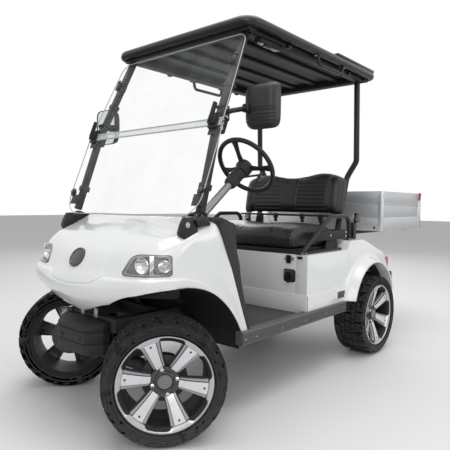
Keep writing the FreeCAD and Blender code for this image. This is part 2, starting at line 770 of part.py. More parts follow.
def seat_box_front():
    half = DECK_INNER_Y - SEAT_GAP
    return block(SEAT_BOX_X - PANEL, SEAT_BOX_X, -half, half, FLOOR_TOP_Z + SEAT_GAP, DECK_Z)


def rear_deck():
    """Deck between the fenders and the panel that closes the tail."""
    half = DECK_INNER_Y - SEAT_GAP
    outer = [
        (DECK_FRONT_X, DECK_Z, 0),
        (DECK_FRONT_X, FENDER_TOP_Z, 12),
        (FENDER_CREST_X, FENDER_TOP_Z, 300),
        (FENDER_SHOULDER_X, FENDER_SHOULDER_Z, 110),
        (TAIL_X, FENDER_TAIL_Z, 50),
        (TAIL_X, 470, 0),
        (TAIL_X + PANEL, 470, 0),
        (TAIL_X + PANEL, FENDER_TAIL_Z - 0.3 * PANEL, 50),
        (FENDER_SHOULDER_X + 0.66 * PANEL, FENDER_SHOULDER_Z - 0.84 * PANEL, 110),
        (FENDER_CREST_X, FENDER_TOP_Z - PANEL, 300),
        (DECK_FRONT_X - PANEL, FENDER_TOP_Z - PANEL, 7),
        (DECK_FRONT_X - PANEL, DECK_Z, 0),
    ]
    return side_prism(outer, -half, half)


BUMPER_REACH = 40.0


def rear_bumper():
    rear = TAIL_X - BUMPER_REACH
    front = TAIL_X - SEAT_GAP
    plan = [(rear, -BODY_HALF + 30, 36), (rear, BODY_HALF - 30, 36), (front, BODY_HALF, 8), (front, -BODY_HALF, 8)]
    bar = plan_prism(plan, 383, 489)
    mount = block(TAIL_X - 2, RAIL_REAR_X, -RAIL_Y - 20, RAIL_Y + 20, RAIL_HIGH_Z, RAIL_HIGH_Z + RAIL_HEIGHT)
    return fused([bar, mount])


def tail_lamps():
    inner = BODY_HALF - 66
    outer = BODY_HALF - 10
    outline = [(inner, 508, 10), (outer, 508, 10), (outer, 600, 10), (inner, 600, 10)]
    lamp = front_prism(outline, TAIL_X - 10, FENDER_SHOULDER_X).cut(quarter_shell(-SEAT_GAP))
    return both_sides(lamp)


def wheel_liners():
    """Black inner arches: a half ring inside each rear fender."""
    y_low = DECK_INNER_Y + 6
    y_high = BODY_HALF - PANEL
    ring = turned_about_y([(ARCH_R + 1, y_low), (ARCH_R + 5, y_low), (ARCH_R + 5, y_high), (ARCH_R + 1, y_high)])
    ring.translate(V(ARCH_X, 0, ARCH_Z))
    rear = ring.common(block(-400, 250, y_low - 1, y_high + 1, 420, 700))
    return both_sides(rear)


# Seats

def seat_deck():
    """Dark tray round the battery bay, with a raised rim beside the rear of the cushion."""
    rear = FENDER_FRONT_X + 44
    low = DECK_Z + 2.3
    high = DECK_Z + 14
    plate = block(rear, SEAT_BOX_X - 6, 36 - BODY_HALF, BODY_HALF - 36, low, high)
    back = block(DECK_FRONT_X + 2, rear + 1, 1 - DECK_INNER_Y, DECK_INNER_Y - 1, low, high)
    well_half = SEAT_HALF - 66
    plate = fused([plate, back]).cut(block(290, 700, -well_half, well_half, low - 1, high + 1))
    rim = side_prism([(rear, low + 1, 0), (rear + 150, low + 1, 0), (rear + 120, 752, 20), (rear, 752, 10)], SEAT_HALF + 6, SEAT_HALF + 14)
    return fused([plate, rim, other_side(rim)])


LID_Z = DECK_Z + 14 + SEAT_GAP
HINGE_X = SEAT_BOX_X + 2
HINGE_Z = DECK_Z + 16


def seat_base():
    """Lid board under the cushion, with two hinge knuckles at its front edge."""
    board = block(SEAT_REAR_X + 10, SEAT_BOX_X - 8, -SEAT_HALF + 15, SEAT_HALF - 15, LID_Z, LID_Z + LID_THICKNESS)
    pieces = [board]
    for side in (1, -1):
        knuckle_tube = rod(V(HINGE_X, side * 197 - 28, HINGE_Z), V(HINGE_X, side * 197 + 28, HINGE_Z), 6)
        tab = block(SEAT_BOX_X - 12, HINGE_X, side * 197 - 24, side * 197 + 24, LID_Z, LID_Z + 4)
        pieces.extend([knuckle_tube, tab])
    return fused(pieces)


def seat_cushion():
    low = LID_Z + LID_THICKNESS + SEAT_GAP
    outline = [
        (SEAT_REAR_X, low, 20),
        (SEAT_FRONT_X, low, 25),
        (SEAT_FRONT_X, low + CUSHION_HEIGHT, 55),
        (SEAT_REAR_X, low + CUSHION_HEIGHT - 10, 40),
    ]
    return side_prism(outline, -SEAT_HALF, SEAT_HALF)


def backrest():
    outline = [(108, 897, 25), (216, 897, 25), (158, 1190, 45), (52, 1190, 45)]
    return side_prism(outline, -SEAT_HALF, SEAT_HALF)


def backrest_frame():
    """Steel bar under the backrest, on two brackets that rise from the deck."""
    bar = block(125, 195, -SEAT_HALF - 6, SEAT_HALF + 6, 883, 896.5)
    pieces = [bar]
    for y in (166 - SEAT_HALF, SEAT_HALF - 166):
        leg = block(140, 180, y - 5, y + 5, FENDER_TOP_Z + 4, 884)
        foot = block(125, 195, y - 30, y + 30, FENDER_TOP_Z, FENDER_TOP_Z + 6)
        pieces.extend([leg, foot])
    return fused(pieces)


ARM_R = 14.0
ARM_Y = SEAT_HALF + 29.0


def hip_restraints():
    """Tube each side: up from the deck's front corner, back beside the seat and down again."""
    arm = bent_tube([
        (V(722, ARM_Y, DECK_Z + 6), 0),
        (V(402, ARM_Y, 893), 45),
        (V(164, ARM_Y, 893), 60),
        (V(156, ARM_Y, FENDER_TOP_Z - 10), 0),
    ], ARM_R)
    arm = arm.cut(block(500, 800, ARM_Y - 45, ARM_Y + 45, 600, DECK_Z + 14 + SEAT_GAP))
    arm = arm.cut(block(100, 220, ARM_Y - 45, ARM_Y + 45, 600, FENDER_TOP_Z + SEAT_GAP))
    return both_sides(arm)


# Struts, windshield, mirrors and roof

STRUT_LINE = (
    V(WHEELBASE - 114, STRUT_FOOT_Y, 922),
    V(WHEELBASE - 238, STRUT_BEND_Y, 1310),
    V(WHEELBASE - 458, STRUT_HEAD_Y, ROOF_EDGE_Z - 14),
)


def square_tube(corners, width):
    """A square tube along corners (point, bend radius) that stay in one side view plane."""
    path = path_wire(corners)
    start = corners[0][0]
    along = (corners[1][0] - start).normalize()
    up = V(0, 1, 0).cross(along).normalize()
    across = along.cross(up)
    half = width / 2
    points = [start + across * (a * half) + up * (b * half) for a, b in ((1, 1), (1, -1), (-1, -1), (-1, 1))]
    section = Part.makePolygon(points + [points[0]])
    return path.makePipeShell([section], True, False)


def front_struts():
    foot, bend, head = STRUT_LINE
    tube = square_tube([(foot, 0), (bend, 300), (head, 0)], STRUT_WIDTH)
    above = block(head.x - 200, head.x + 200, head.y - 100, head.y + 100, head.z - SEAT_GAP, head.z + 200)
    tube = tube.cut(above)
    tube = tube.cut(cowl_loft(-SEAT_GAP, 0)).cut(dashboard())
    return both_sides(tube.Solids[0])


def rear_struts():
    strut = bent_tube([
        (V(2, REAR_STRUT_Y, ROOF_EDGE_Z - 10), 0),
        (V(-16, REAR_STRUT_Y, 1256), 60),
        (V(-10, REAR_STRUT_Y - 64, 1150), 80),
        (V(122, REAR_STRUT_Y - 68, FENDER_TOP_Z - 8), 0),
    ], REAR_STRUT_R)
    inner = REAR_STRUT_Y - 150
    outer = REAR_STRUT_Y + 100
    strut = strut.cut(block(0, 200, inner, outer, 600, FENDER_TOP_Z + SEAT_GAP))
    strut = strut.cut(block(-100, 100, inner, outer, ROOF_EDGE_Z - 14 - SEAT_GAP, ROOF_EDGE_Z + 100))
    return both_sides(strut)


GLASS = 5.0
GLASS_HALF = BODY_HALF - 3.0
GLASS_HEAD_HALF = BODY_HALF - 43.0
GLASS_FOOT = (WHEELBASE - 58.0, 902.0)
GLASS_FOLD = (WHEELBASE - 219.0, 1318.0)
GLASS_HEAD = (WHEELBASE - 428.0, 1762.0)
FOLD_GAP = 4.0


def pane(foot, head, foot_half, head_half, foot_radius, head_radius):
    """Flat sheet from one side view point up to another, its outer corners rounded."""
    start = V(foot[0], 0, foot[1])
    end = V(head[0], 0, head[1])
    corners = [
        (start + V(0, -foot_half, 0), foot_radius),
        (start + V(0, foot_half, 0), foot_radius),
        (end + V(0, head_half, 0), head_radius),
        (end + V(0, -head_half, 0), head_radius),
    ]
    up = (end - start).normalize()
    ahead = V(up.z, 0, -up.x)
    return Part.Face(path_wire(corners, True)).extrude(ahead * GLASS)


def windshield():
    """Two clear panes that meet at the fold."""
    low_head = (GLASS_FOLD[0] + FOLD_GAP / 2, GLASS_FOLD[1] - FOLD_GAP)
    lower = pane(GLASS_FOOT, low_head, GLASS_HALF, GLASS_HALF, 110, 8)
    upper = pane(GLASS_FOLD, GLASS_HEAD, GLASS_HALF - 4, GLASS_HEAD_HALF, 8, 60)
    return Part.makeCompound([lower, upper])


def windshield_clamps():
    """Brackets from the struts to the glass: at its foot, under the fold and near its head."""
    foot, bend, head = STRUT_LINE
    rear_x = WHEELBASE - 670
    front_x = WHEELBASE + 330
    low_z = 900
    high_z = 1740
    inner = STRUT_HEAD_Y - 118
    outer = STRUT_FOOT_Y + 138
    ahead_of_strut = side_prism([
        (strut_face(low_z), low_z, 0), (front_x, low_z, 0), (front_x, high_z, 0),
        (strut_face(high_z), high_z, 0), (strut_face(bend.z), bend.z, 0),
    ], inner, outer)
    behind_glass = side_prism([
        (rear_x, low_z, 0), (glass_back(low_z), low_z, 0), (glass_back(GLASS_FOLD[1]), GLASS_FOLD[1], 0),
        (glass_back(high_z), high_z, 0), (rear_x, high_z, 0),
    ], inner, outer)
    between = ahead_of_strut.common(behind_glass)
    pieces = []
    # columns: low z, high z, middle y, width
    table = (
        (952, 1002, foot.y, 44),
        (1262, 1302, bend.y + 6, 60),
        (1600, 1632, head.y + 9, 44),
    )
    for low, high, y, width in table:
        slab = block(rear_x, front_x, y - width / 2, y + width / 2, low, high)
        pieces.append(slab.common(between))
    return both_sides(Part.makeCompound(pieces))


def strut_face(z):
    """Side view x of the front struts' front face at a height."""
    foot, bend, head = STRUT_LINE
    start, end = (foot, bend) if z <= bend.z else (bend, head)
    lean = (end.x - start.x) / (end.z - start.z)
    return start.x + lean * (z - start.z) + STRUT_WIDTH / 2 * math.hypot(1, lean) + 2 * SEAT_GAP


def glass_back(z):
    """Side view x just behind the glass at a height."""
    start, end = (GLASS_FOOT, GLASS_FOLD) if z <= GLASS_FOLD[1] else (GLASS_FOLD, GLASS_HEAD)
    lean = (end[0] - start[0]) / (end[1] - start[1])
    return start[0] + lean * (z - start[1]) - SEAT_GAP


def mirrors():
    """Door-type mirror heads on short arms from the struts."""
    inner = STRUT_BEND_Y + 32
    outer = STRUT_BEND_Y + 210
    face_x = WHEELBASE - 364
    outline = [(inner, 1303, 30), (outer, 1303, 30), (outer, 1508, 30), (inner, 1508, 30)]
    shell = front_prism(outline, face_x - 60, face_x)
    arm = rod(V(face_x + 88, STRUT_BEND_Y - 2, 1392), V(face_x - 16, STRUT_BEND_Y + 58, 1400), 10)
    mirror = fused([shell, arm])
    hole = square_tube([(STRUT_LINE[0], 0), (STRUT_LINE[1], 300), (STRUT_LINE[2], 0)], STRUT_WIDTH + 2 * SEAT_GAP)
    return both_sides(mirror.cut(hole))


def roof():
    corners = [
        (ROOF_REAR_X, -ROOF_HALF, 70), (ROOF_FRONT_X, -ROOF_HALF, 90),
        (ROOF_FRONT_X, ROOF_HALF, 90), (ROOF_REAR_X, ROOF_HALF, 70),
    ]
    edge = plan_prism(corners, ROOF_EDGE_Z, ROOF_EDGE_Z + ROOF_EDGE)
    inner = [(x - 40 if x > 0 else x + 40, y - math.copysign(40, y), r - 30) for x, y, r in corners]
    crown = plan_prism(inner, ROOF_EDGE_Z + ROOF_EDGE - 1, ROOF_EDGE_Z + ROOF_EDGE + ROOF_CROWN)
    band = plan_prism([
        (ROOF_REAR_X + 12, -ROOF_HALF + 12, 60), (ROOF_BAND_X, -ROOF_HALF + 12, 20),
        (ROOF_BAND_X, ROOF_HALF - 12, 20), (ROOF_REAR_X + 12, ROOF_HALF - 12, 60),
    ], ROOF_EDGE_Z + ROOF_EDGE - 1, ROOF_EDGE_Z + ROOF_EDGE + ROOF_CROWN + ROOF_BAND)
    shell = fused([edge, crown, band])
    pocket = plan_prism(inner, ROOF_EDGE_Z - 1, ROOF_EDGE_Z + ROOF_EDGE - 15)
    shell = shell.cut(pocket)
    rear = ROOF_REAR_X + 48
    front = ROOF_FRONT_X - 105
    low = ROOF_EDGE_Z - 14
    high = ROOF_EDGE_Z + ROOF_EDGE - 14
    ribs = [block(x, x + 60, 41 - ROOF_HALF, ROOF_HALF - 41, low, high) for x in (rear, front)]
    ribs += [block(rear + 20, front + 35, y - 30, y + 30, low, high) for y in (-STRUT_HEAD_Y, STRUT_HEAD_Y)]
    return fused([shell] + ribs)


def roof_handles():
    """Grab bar under each side edge of the roof."""
    y = ROOF_HALF - 23
    low = ROOF_EDGE_Z - 48
    handle = bent_tube([
        (V(356, y, ROOF_EDGE_Z + 5), 0),
        (V(371, y, low), 30),
        (V(635, y, low), 30),
        (V(649, y, ROOF_EDGE_Z + 5), 0),
    ], 10)
    handle = handle.cut(block(300, 700, y - 80, y + 80, ROOF_EDGE_Z - SEAT_GAP, ROOF_EDGE_Z + 200))
    return both_sides(handle)


# Cargo box

GATE_GAP = 1.0
GATE_HINGE_X = BOX_REAR_X + 9
GATE_HINGE_Z = BOX_BOTTOM_Z - 12
GATE_HINGE_YS = (-350.0, 0.0, 350.0)
GATE_BARREL_R = 9.0
GATE_BARREL_HALF = 30.0
GATE_PIN_R = 5.0
GATE_LUG = 6.0
GATE_LUG_R = 7.0


def cargo_floor():
    """Floor panel, with the tailgate's hinge pins held between lugs under its rear edge."""
    half = BOX_HALF - BOX_WALL
    rear = BOX_REAR_X + BOX_WALL + GATE_GAP
    pieces = [block(rear, BOX_FRONT_X - BOX_WALL, -half, half, BOX_BOTTOM_Z, BOX_BOTTOM_Z + BOX_FLOOR)]
    low = GATE_HINGE_Z - GATE_LUG_R
    high = GATE_HINGE_Z + GATE_LUG_R
    for y in GATE_HINGE_YS:
        reach = GATE_BARREL_HALF + GATE_GAP + GATE_LUG
        pieces.append(rod(V(GATE_HINGE_X, y - reach, GATE_HINGE_Z), V(GATE_HINGE_X, y + reach, GATE_HINGE_Z), GATE_PIN_R))
        for side in (1, -1):
            inner = y + side * (GATE_BARREL_HALF + GATE_GAP)
            outer = inner + side * GATE_LUG
            pieces.append(rod(V(GATE_HINGE_X, inner, GATE_HINGE_Z), V(GATE_HINGE_X, outer, GATE_HINGE_Z), GATE_LUG_R))
            pieces.append(block(GATE_HINGE_X, rear + 34, min(inner, outer), max(inner, outer), low, high))
            pieces.append(block(rear + 4, rear + 34, min(inner, outer), max(inner, outer), low, BOX_BOTTOM_Z + 2))
    return fused(pieces)


def ribbed_wall(length):
    """A drop-side panel lying in the XZ plane, with two ribs pressed out along its length."""
    height = BOX_TOP_Z - BOX_BOTTOM_Z
    wall = block(0, length, 0, BOX_WALL, 0, height)
    for z in (height * 0.33, height * 0.67):
        wall = wall.cut(block(18, length - 18, -1, 4, z - 7, z + 7))
    return wall


def cargo_walls():
    """Front and side walls with their corner posts, one welded U."""
    side = ribbed_wall(BOX_FRONT_X - BOX_REAR_X - BOX_WALL - GATE_GAP)
    side.rotate(V(0, 0, 0), V(0, 0, 1), 180)
    side.translate(V(BOX_FRONT_X, BOX_HALF, BOX_BOTTOM_Z))
    front = ribbed_wall(2 * BOX_HALF)
    front.rotate(V(0, 0, 0), V(0, 0, 1), 90)
    front.translate(V(BOX_FRONT_X, -BOX_HALF, BOX_BOTTOM_Z))
    return fused([front, side, other_side(side)])


def tailgate():
    """Rear panel with hinge barrels below its bottom edge."""
    gate = ribbed_wall(2 * BOX_HALF)
    gate.rotate(V(0, 0, 0), V(0, 0, 1), -90)
    gate.translate(V(BOX_REAR_X, BOX_HALF, BOX_BOTTOM_Z))
    pieces = [gate]
    for y in GATE_HINGE_YS:
        low = y - GATE_BARREL_HALF
        high = y + GATE_BARREL_HALF
        pieces.append(rod(V(GATE_HINGE_X, low, GATE_HINGE_Z), V(GATE_HINGE_X, high, GATE_HINGE_Z), GATE_BARREL_R))
        pieces.append(block(GATE_HINGE_X - 5, GATE_HINGE_X + 5, low, high, GATE_HINGE_Z, BOX_BOTTOM_Z + 1))
    gate = fused(pieces)
    for y in GATE_HINGE_YS:
        reach = GATE_BARREL_HALF + 1
        gate = gate.cut(rod(V(GATE_HINGE_X, y - reach, GATE_HINGE_Z), V(GATE_HINGE_X, y + reach, GATE_HINGE_Z), GATE_PIN_R + PIN_FIT))
    return gate


def cargo_subframe():
    """Two bearers from the rear deck out under the floor, on posts bolted to the rear bumper."""
    bearer_front_x = 110.0
    post_front_x = TAIL_X - BUMPER_REACH
    pieces = []
    for side in (1, -1):
        y = side * RAIL_Y
        bearer = block(BOX_REAR_X + 60, bearer_front_x, y - 20, y + 20, FENDER_TOP_Z, BOX_BOTTOM_Z)
        post = block(post_front_x - 30, post_front_x, y - 20, y + 20, 420, FENDER_TOP_Z + 10)
        pieces.append(fused([bearer, post]))
    return Part.makeCompound(pieces)


def build():
    os.makedirs("parts", exist_ok=True)
    wheels()
    write("front_beam", front_beam())
    write("knuckle_left", knuckle(1))
    write("knuckle_right", knuckle(-1))
    write("tie_rod", tie_rod())
    write("front_shocks", front_shocks())
    write("rear_axle", rear_axle())
    write("leaf_springs", leaf_springs())
    write("frame_rails", frame_rails())
    write("cross_members", cross_members())
    write("spring_hangers", spring_hangers())
    write("floor_pan", floor_pan())
    write("sills", sills())
    write("battery_pack", battery_pack())
    write("front_cowl", front_cowl())
    write("front_bumper", front_bumper())
    write("headlamps", headlamps())
    write("dashboard", dashboard())
    write("cowl_trims", cowl_trims())
    write("steering_column", steering_column())
    write("steering_wheel", steering_wheel())
    write("pedals", pedals())
    write("rear_quarter_left", rear_quarter(1))
    write("rear_quarter_right", rear_quarter(-1))
    write("seat_box_front", seat_box_front())
    write("rear_deck", rear_deck())
    write("rear_bumper", rear_bumper())
    write("tail_lamps", tail_lamps())
    write("wheel_liners", wheel_liners())
    write("seat_deck", seat_deck())
    write("seat_base", seat_base())
    write("seat_cushion", seat_cushion())
    write("backrest", backrest())
    write("backrest_frame", backrest_frame())
    write("hip_restraints", hip_restraints())
    write("front_struts", front_struts())
    write("rear_struts", rear_struts())
    write("windshield", windshield())
    write("windshield_clamps", windshield_clamps())
    write("mirrors", mirrors())
    write("roof", roof())
    write("roof_handles", roof_handles())
    write("cargo_floor", cargo_floor())
    write("cargo_walls", cargo_walls())
    write("tailgate", tailgate())
    write("cargo_subframe", cargo_subframe())


build()
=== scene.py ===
import math

import bpy
from mathutils import Matrix, Vector


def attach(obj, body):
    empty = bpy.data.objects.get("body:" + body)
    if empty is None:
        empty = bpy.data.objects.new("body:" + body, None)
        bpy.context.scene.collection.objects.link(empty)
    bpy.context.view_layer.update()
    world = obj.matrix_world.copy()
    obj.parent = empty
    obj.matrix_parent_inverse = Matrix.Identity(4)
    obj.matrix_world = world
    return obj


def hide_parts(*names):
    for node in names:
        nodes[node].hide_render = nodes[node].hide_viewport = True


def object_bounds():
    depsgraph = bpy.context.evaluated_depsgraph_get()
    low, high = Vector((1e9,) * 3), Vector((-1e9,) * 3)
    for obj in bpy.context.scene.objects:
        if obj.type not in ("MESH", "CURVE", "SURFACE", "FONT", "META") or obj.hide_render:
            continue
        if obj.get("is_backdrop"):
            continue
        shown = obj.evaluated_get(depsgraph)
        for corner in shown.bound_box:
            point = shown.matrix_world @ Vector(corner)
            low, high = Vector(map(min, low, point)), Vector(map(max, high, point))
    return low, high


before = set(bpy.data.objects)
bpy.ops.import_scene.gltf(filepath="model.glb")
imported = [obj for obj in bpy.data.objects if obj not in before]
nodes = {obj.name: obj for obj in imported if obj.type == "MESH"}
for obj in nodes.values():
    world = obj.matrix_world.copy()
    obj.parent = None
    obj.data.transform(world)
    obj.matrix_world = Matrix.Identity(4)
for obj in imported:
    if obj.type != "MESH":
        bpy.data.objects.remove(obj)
cad_low, cad_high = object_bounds()
bpy.ops.object.select_all(action="DESELECT")

REAR_AXLE_OFFSET = 483.6
CLOSE = 0.00005


# Helpers for meshes. Every piece is made by Blender's own operators and settled: its place and turn go
# into its mesh, in metres.
def spot(x, y, z):
    """A place in metres, from millimetres measured from the middle of the rear axle on the ground."""
    return Vector(((x - REAR_AXLE_OFFSET) / 1000, y / 1000, z / 1000))


def only(*pieces):
    """Select these pieces alone and make the first one active."""
    bpy.ops.object.select_all(action="DESELECT")
    for piece in pieces:
        piece.select_set(True)
    bpy.context.view_layer.objects.active = pieces[0]


def edit(piece):
    only(piece)
    bpy.ops.object.mode_set(mode="EDIT")
    bpy.ops.mesh.select_mode(type="FACE")


def leave():
    bpy.ops.object.mode_set(mode="OBJECT")


def settle(piece):
    """Put the object's place and turn into its mesh."""
    only(piece)
    bpy.ops.object.transform_apply(location=True, rotation=True, scale=True)


def placed(piece, place, turn=(0, 0, 0)):
    """Turn a piece, move it to its place and put both into its mesh."""
    piece.rotation_euler = turn
    piece.location = place
    settle(piece)


def paint(piece, material):
    piece.data.materials.append(material)


def smoothed(piece, angle):
    only(piece)
    bpy.ops.object.shade_smooth_by_angle(angle=math.radians(angle))


def primitive(operator, name, **settings):
    """A new primitive at the origin, the only one selected."""
    bpy.ops.object.select_all(action="DESELECT")
    operator(location=(0, 0, 0), **settings)
    piece = bpy.context.object
    piece.name = name
    return piece


def faced(piece, merge=0.0, cap=False):
    """Merge a piece's close points, cap its open ends and make its faces look out."""
    edit(piece)
    bpy.ops.mesh.select_all(action="SELECT")
    if merge:
        bpy.ops.mesh.remove_doubles(threshold=merge)
    if cap:
        bpy.ops.mesh.select_mode(type="EDGE")
        bpy.ops.mesh.select_all(action="DESELECT")
        bpy.ops.mesh.select_non_manifold()
        bpy.ops.mesh.edge_face_add()
        bpy.ops.mesh.select_all(action="SELECT")
    bpy.ops.mesh.normals_make_consistent(inside=False)
    leave()


def flipped(piece):
    """Turn every face of a piece round."""
    edit(piece)
    bpy.ops.mesh.select_all(action="SELECT")
    bpy.ops.mesh.flip_normals()
    leave()


def modified(piece, kind, **settings):
    """Add a modifier and apply it."""
    only(piece)
    modifier = piece.modifiers.new(kind.lower(), kind)
    for key, value in settings.items():
        setattr(modifier, key, value)
    bpy.ops.object.modifier_apply(modifier=modifier.name)


def duplicate(piece, name):
    double = piece.copy()
    double.data = piece.data.copy()
    double.name = name
    bpy.context.scene.collection.objects.link(double)
    return double


def face_out(piece, direction):
    """Turn a sheet's faces so that most of them look along a direction."""
    total = sum(face.normal.dot(direction) * face.area for face in piece.data.polygons)
    if total < 0:
        flipped(piece)


def drawn(name, points):
    """One vertex drawn on from point to point in edit mode; the open line is left selected."""
    piece = primitive(bpy.ops.mesh.primitive_plane_add, name, size=0.01)
    bpy.ops.object.mode_set(mode="EDIT")
    bpy.ops.mesh.select_all(action="SELECT")
    bpy.ops.mesh.select_mode(type="VERT")
    bpy.ops.mesh.merge(type="CENTER")
    bpy.ops.transform.translate(value=points[0])
    for here, there in zip(points, points[1:]):
        step = Vector(there) - Vector(here)
        bpy.ops.mesh.extrude_vertices_move(TRANSFORM_OT_translate={"value": step})
    bpy.ops.mesh.select_all(action="SELECT")
    return piece


def spun(name, outline, steps):
    """A ring or cap: an outline of (radius, y) in millimetres, spun once round the Y axis."""
    piece = drawn(name, [Vector((r / 1000, y / 1000, 0)) for r, y in outline])
    bpy.ops.mesh.spin(steps=steps, angle=math.tau, center=(0, 0, 0), axis=(0, 1, 0))
    bpy.ops.mesh.select_all(action="SELECT")
    bpy.ops.mesh.remove_doubles(threshold=0.00002)
    bpy.ops.mesh.normals_make_consistent(inside=False)
    leave()
    return piece


def grid(name, columns, rows, place):
    """A sheet: a grid primitive whose corner (column, row) goes to place(column, row), in metres."""
    piece = primitive(bpy.ops.mesh.primitive_grid_add, name, x_subdivisions=columns, y_subdivisions=rows,
                      size=1)
    for vertex in piece.data.vertices:
        column = round((vertex.co.x + 0.5) * columns)
        row = round((vertex.co.y + 0.5) * rows)
        vertex.co = place(column, row)
    return piece


def cube(name, low, high, material, width=0.001):
    """A block between two corners in millimetres, its edges rounded."""
    piece = primitive(bpy.ops.mesh.primitive_cube_add, name, size=1)
    bottom, top = spot(*low), spot(*high)
    piece.scale = top - bottom
    placed(piece, (top + bottom) / 2)
    if width:
        modified(piece, "BEVEL", width=width, segments=2)
    paint(piece, material)
    return piece


def tube(name, corners, radius, material, sides=16):
    """A bent tube along corners in millimetres, each an x, y, z and bend radius."""
    points = [Vector(corner[:3]) for corner in corners]
    path = [points[0]]
    for index in range(1, len(points) - 1):
        bend = corners[index][3]
        start, centre, end = arc_corner(points[index - 1], points[index], points[index + 1], bend)
        first, last = (start - centre).normalized(), (end - centre).normalized()
        for step in range(9):
            path.append(centre + first.slerp(last, step / 8) * bend)
    path.append(points[-1])
    curve = bpy.data.curves.new(name, "CURVE")
    curve.dimensions = "3D"
    curve.bevel_depth = radius / 1000
    curve.bevel_resolution = max(sides // 4 - 1, 1)
    curve.use_fill_caps = True
    line = curve.splines.new("POLY")
    line.points.add(len(path) - 1)
    for node, place in zip(line.points, path):
        node.co = (*spot(*place), 1)
    piece = bpy.data.objects.new(name, curve)
    bpy.context.scene.collection.objects.link(piece)
    only(piece)
    bpy.ops.object.convert(target="MESH")
    piece = bpy.context.object
    piece.data.materials.clear()
    paint(piece, material)
    return piece


def bolt(place, direction, r, material, sides=6):
    """A bolt head on its washer, standing on a surface and looking along a direction."""
    head = spun("bolt", [(0, 0.75 * r), (0.7 * r, 0.72 * r), (0.92 * r, 0.55 * r), (0.92 * r, 0.1 * r)],
                sides)
    washer = spun("washer", [(0, 0.14 * r), (1.4 * r, 0.14 * r), (1.5 * r, 0), (1.5 * r, -0.2 * r)], 16)
    merged([head, washer])
    placed(head, spot(*place), Vector(direction).to_track_quat("Y", "Z").to_euler())
    paint(head, material)
    return head


def merged(pieces):
    """Join pieces into the first of them."""
    only(*pieces)
    if len(pieces) > 1:
        bpy.ops.object.join()
    return pieces[0]


def joined(name, pieces, body="root", replaces=None, smooth=32):
    """One finished piece from several, on its body and the node that it replaces."""
    piece = merged(pieces)
    piece.name = name
    bpy.ops.object.shade_smooth_by_angle(angle=math.radians(smooth))
    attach(piece, body)
    if replaces:
        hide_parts(replaces)
    return piece


def dressed(node, material, width=0.0015, angle=28, body="root", smooth=32):
    """A piece that is finished from its own solid: merged, its edges rounded, shaded and painted."""
    piece = duplicate(nodes[node], node + "_finished")
    piece.parent = None
    piece.matrix_world = nodes[node].matrix_world
    piece.hide_render = False
    settle(piece)
    edit(piece)
    bpy.ops.mesh.select_all(action="SELECT")
    bpy.ops.mesh.remove_doubles(threshold=0.00002)
    bpy.ops.mesh.dissolve_limited(angle_limit=math.radians(0.6))
    bpy.ops.mesh.normals_make_consistent(inside=False)
    leave()
    if width:
        modified(piece, "BEVEL", width=width, segments=3 if width > 0.01 else 2, limit_method="ANGLE",
                 angle_limit=math.radians(angle), use_clamp_overlap=True)
    piece.data.materials.clear()
    paint(piece, material)
    smoothed(piece, smooth)
    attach(piece, body)
    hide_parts(node)
    return piece


def cut_with(piece, cutter, operation="DIFFERENCE"):
    modified(piece, "BOOLEAN", object=cutter, operation=operation, solver="EXACT")
    bpy.data.objects.remove(cutter)


def pick(piece, wanted):
    """Select the faces whose centre and normal pass the test, then go back to edit mode."""
    leave()
    for face in piece.data.polygons:
        face.select = wanted(face.center, face.normal)
    bpy.ops.object.mode_set(mode="EDIT")


# Curves and sections, in millimetres
def between(rows, key):
    """The values of a table at a key between its rows, as smooth curves through the rows."""
    index = 0
    while index < len(rows) - 2 and key > rows[index + 1][0]:
        index += 1
    before = rows[max(index - 1, 0)]
    start, end = rows[index], rows[index + 1]
    after = rows[min(index + 2, len(rows) - 1)]
    gap = end[0] - start[0]
    t = min(1, max(0, (key - start[0]) / gap))
    values = []
    for b, s, e, a in zip(before[1:], start[1:], end[1:], after[1:]):
        leave_slope = (e - b) / (end[0] - before[0]) * gap
        reach_slope = (a - s) / (after[0] - start[0]) * gap
        bend = (2 * t ** 3 - 3 * t ** 2 + 1) * s + (3 * t ** 2 - 2 * t ** 3) * e
        values.append(bend + (t ** 3 - 2 * t ** 2 + t) * leave_slope + (t ** 3 - t ** 2) * reach_slope)
    return values


def ramp(low, high, value):
    """0 below low, 1 above high and smooth between them."""
    share = min(1, max(0, (value - low) / (high - low)))
    return share * share * (3 - 2 * share)


def arc_corner(before, corner, after, radius):
    """Start, centre and end of the arc that rounds a corner."""
    back = (before - corner).normalized()
    ahead = (after - corner).normalized()
    half = math.acos(max(-1, min(1, back.dot(ahead)))) / 2
    centre = corner + (back + ahead).normalized() * (radius / math.sin(half))
    cut = radius / math.tan(half)
    return corner + back * cut, centre, corner + ahead * cut


def on_arc(start, centre, end, share):
    """A point a share of the way along a level arc."""
    first = start - centre
    last = end - centre
    angle = math.atan2(first.x * last.y - first.y * last.x, first.dot(last)) * share
    turned = Vector((
        first.x * math.cos(angle) - first.y * math.sin(angle),
        first.x * math.sin(angle) + first.y * math.cos(angle),
    ))
    return centre + turned


def rounded_power(angle, power):
    """A point of a rounded square, a circle at power 2 and squarer above it."""
    return (
        math.copysign(abs(math.cos(angle)) ** (2 / power), math.cos(angle)),
        math.copysign(abs(math.sin(angle)) ** (2 / power), math.sin(angle)),
    )


def dip(offset, width):
    """A smooth bump, 1 at no offset and 0 from a width on."""
    return max(0, 1 - (offset / width) ** 2) ** 2 if abs(offset) < width else 0


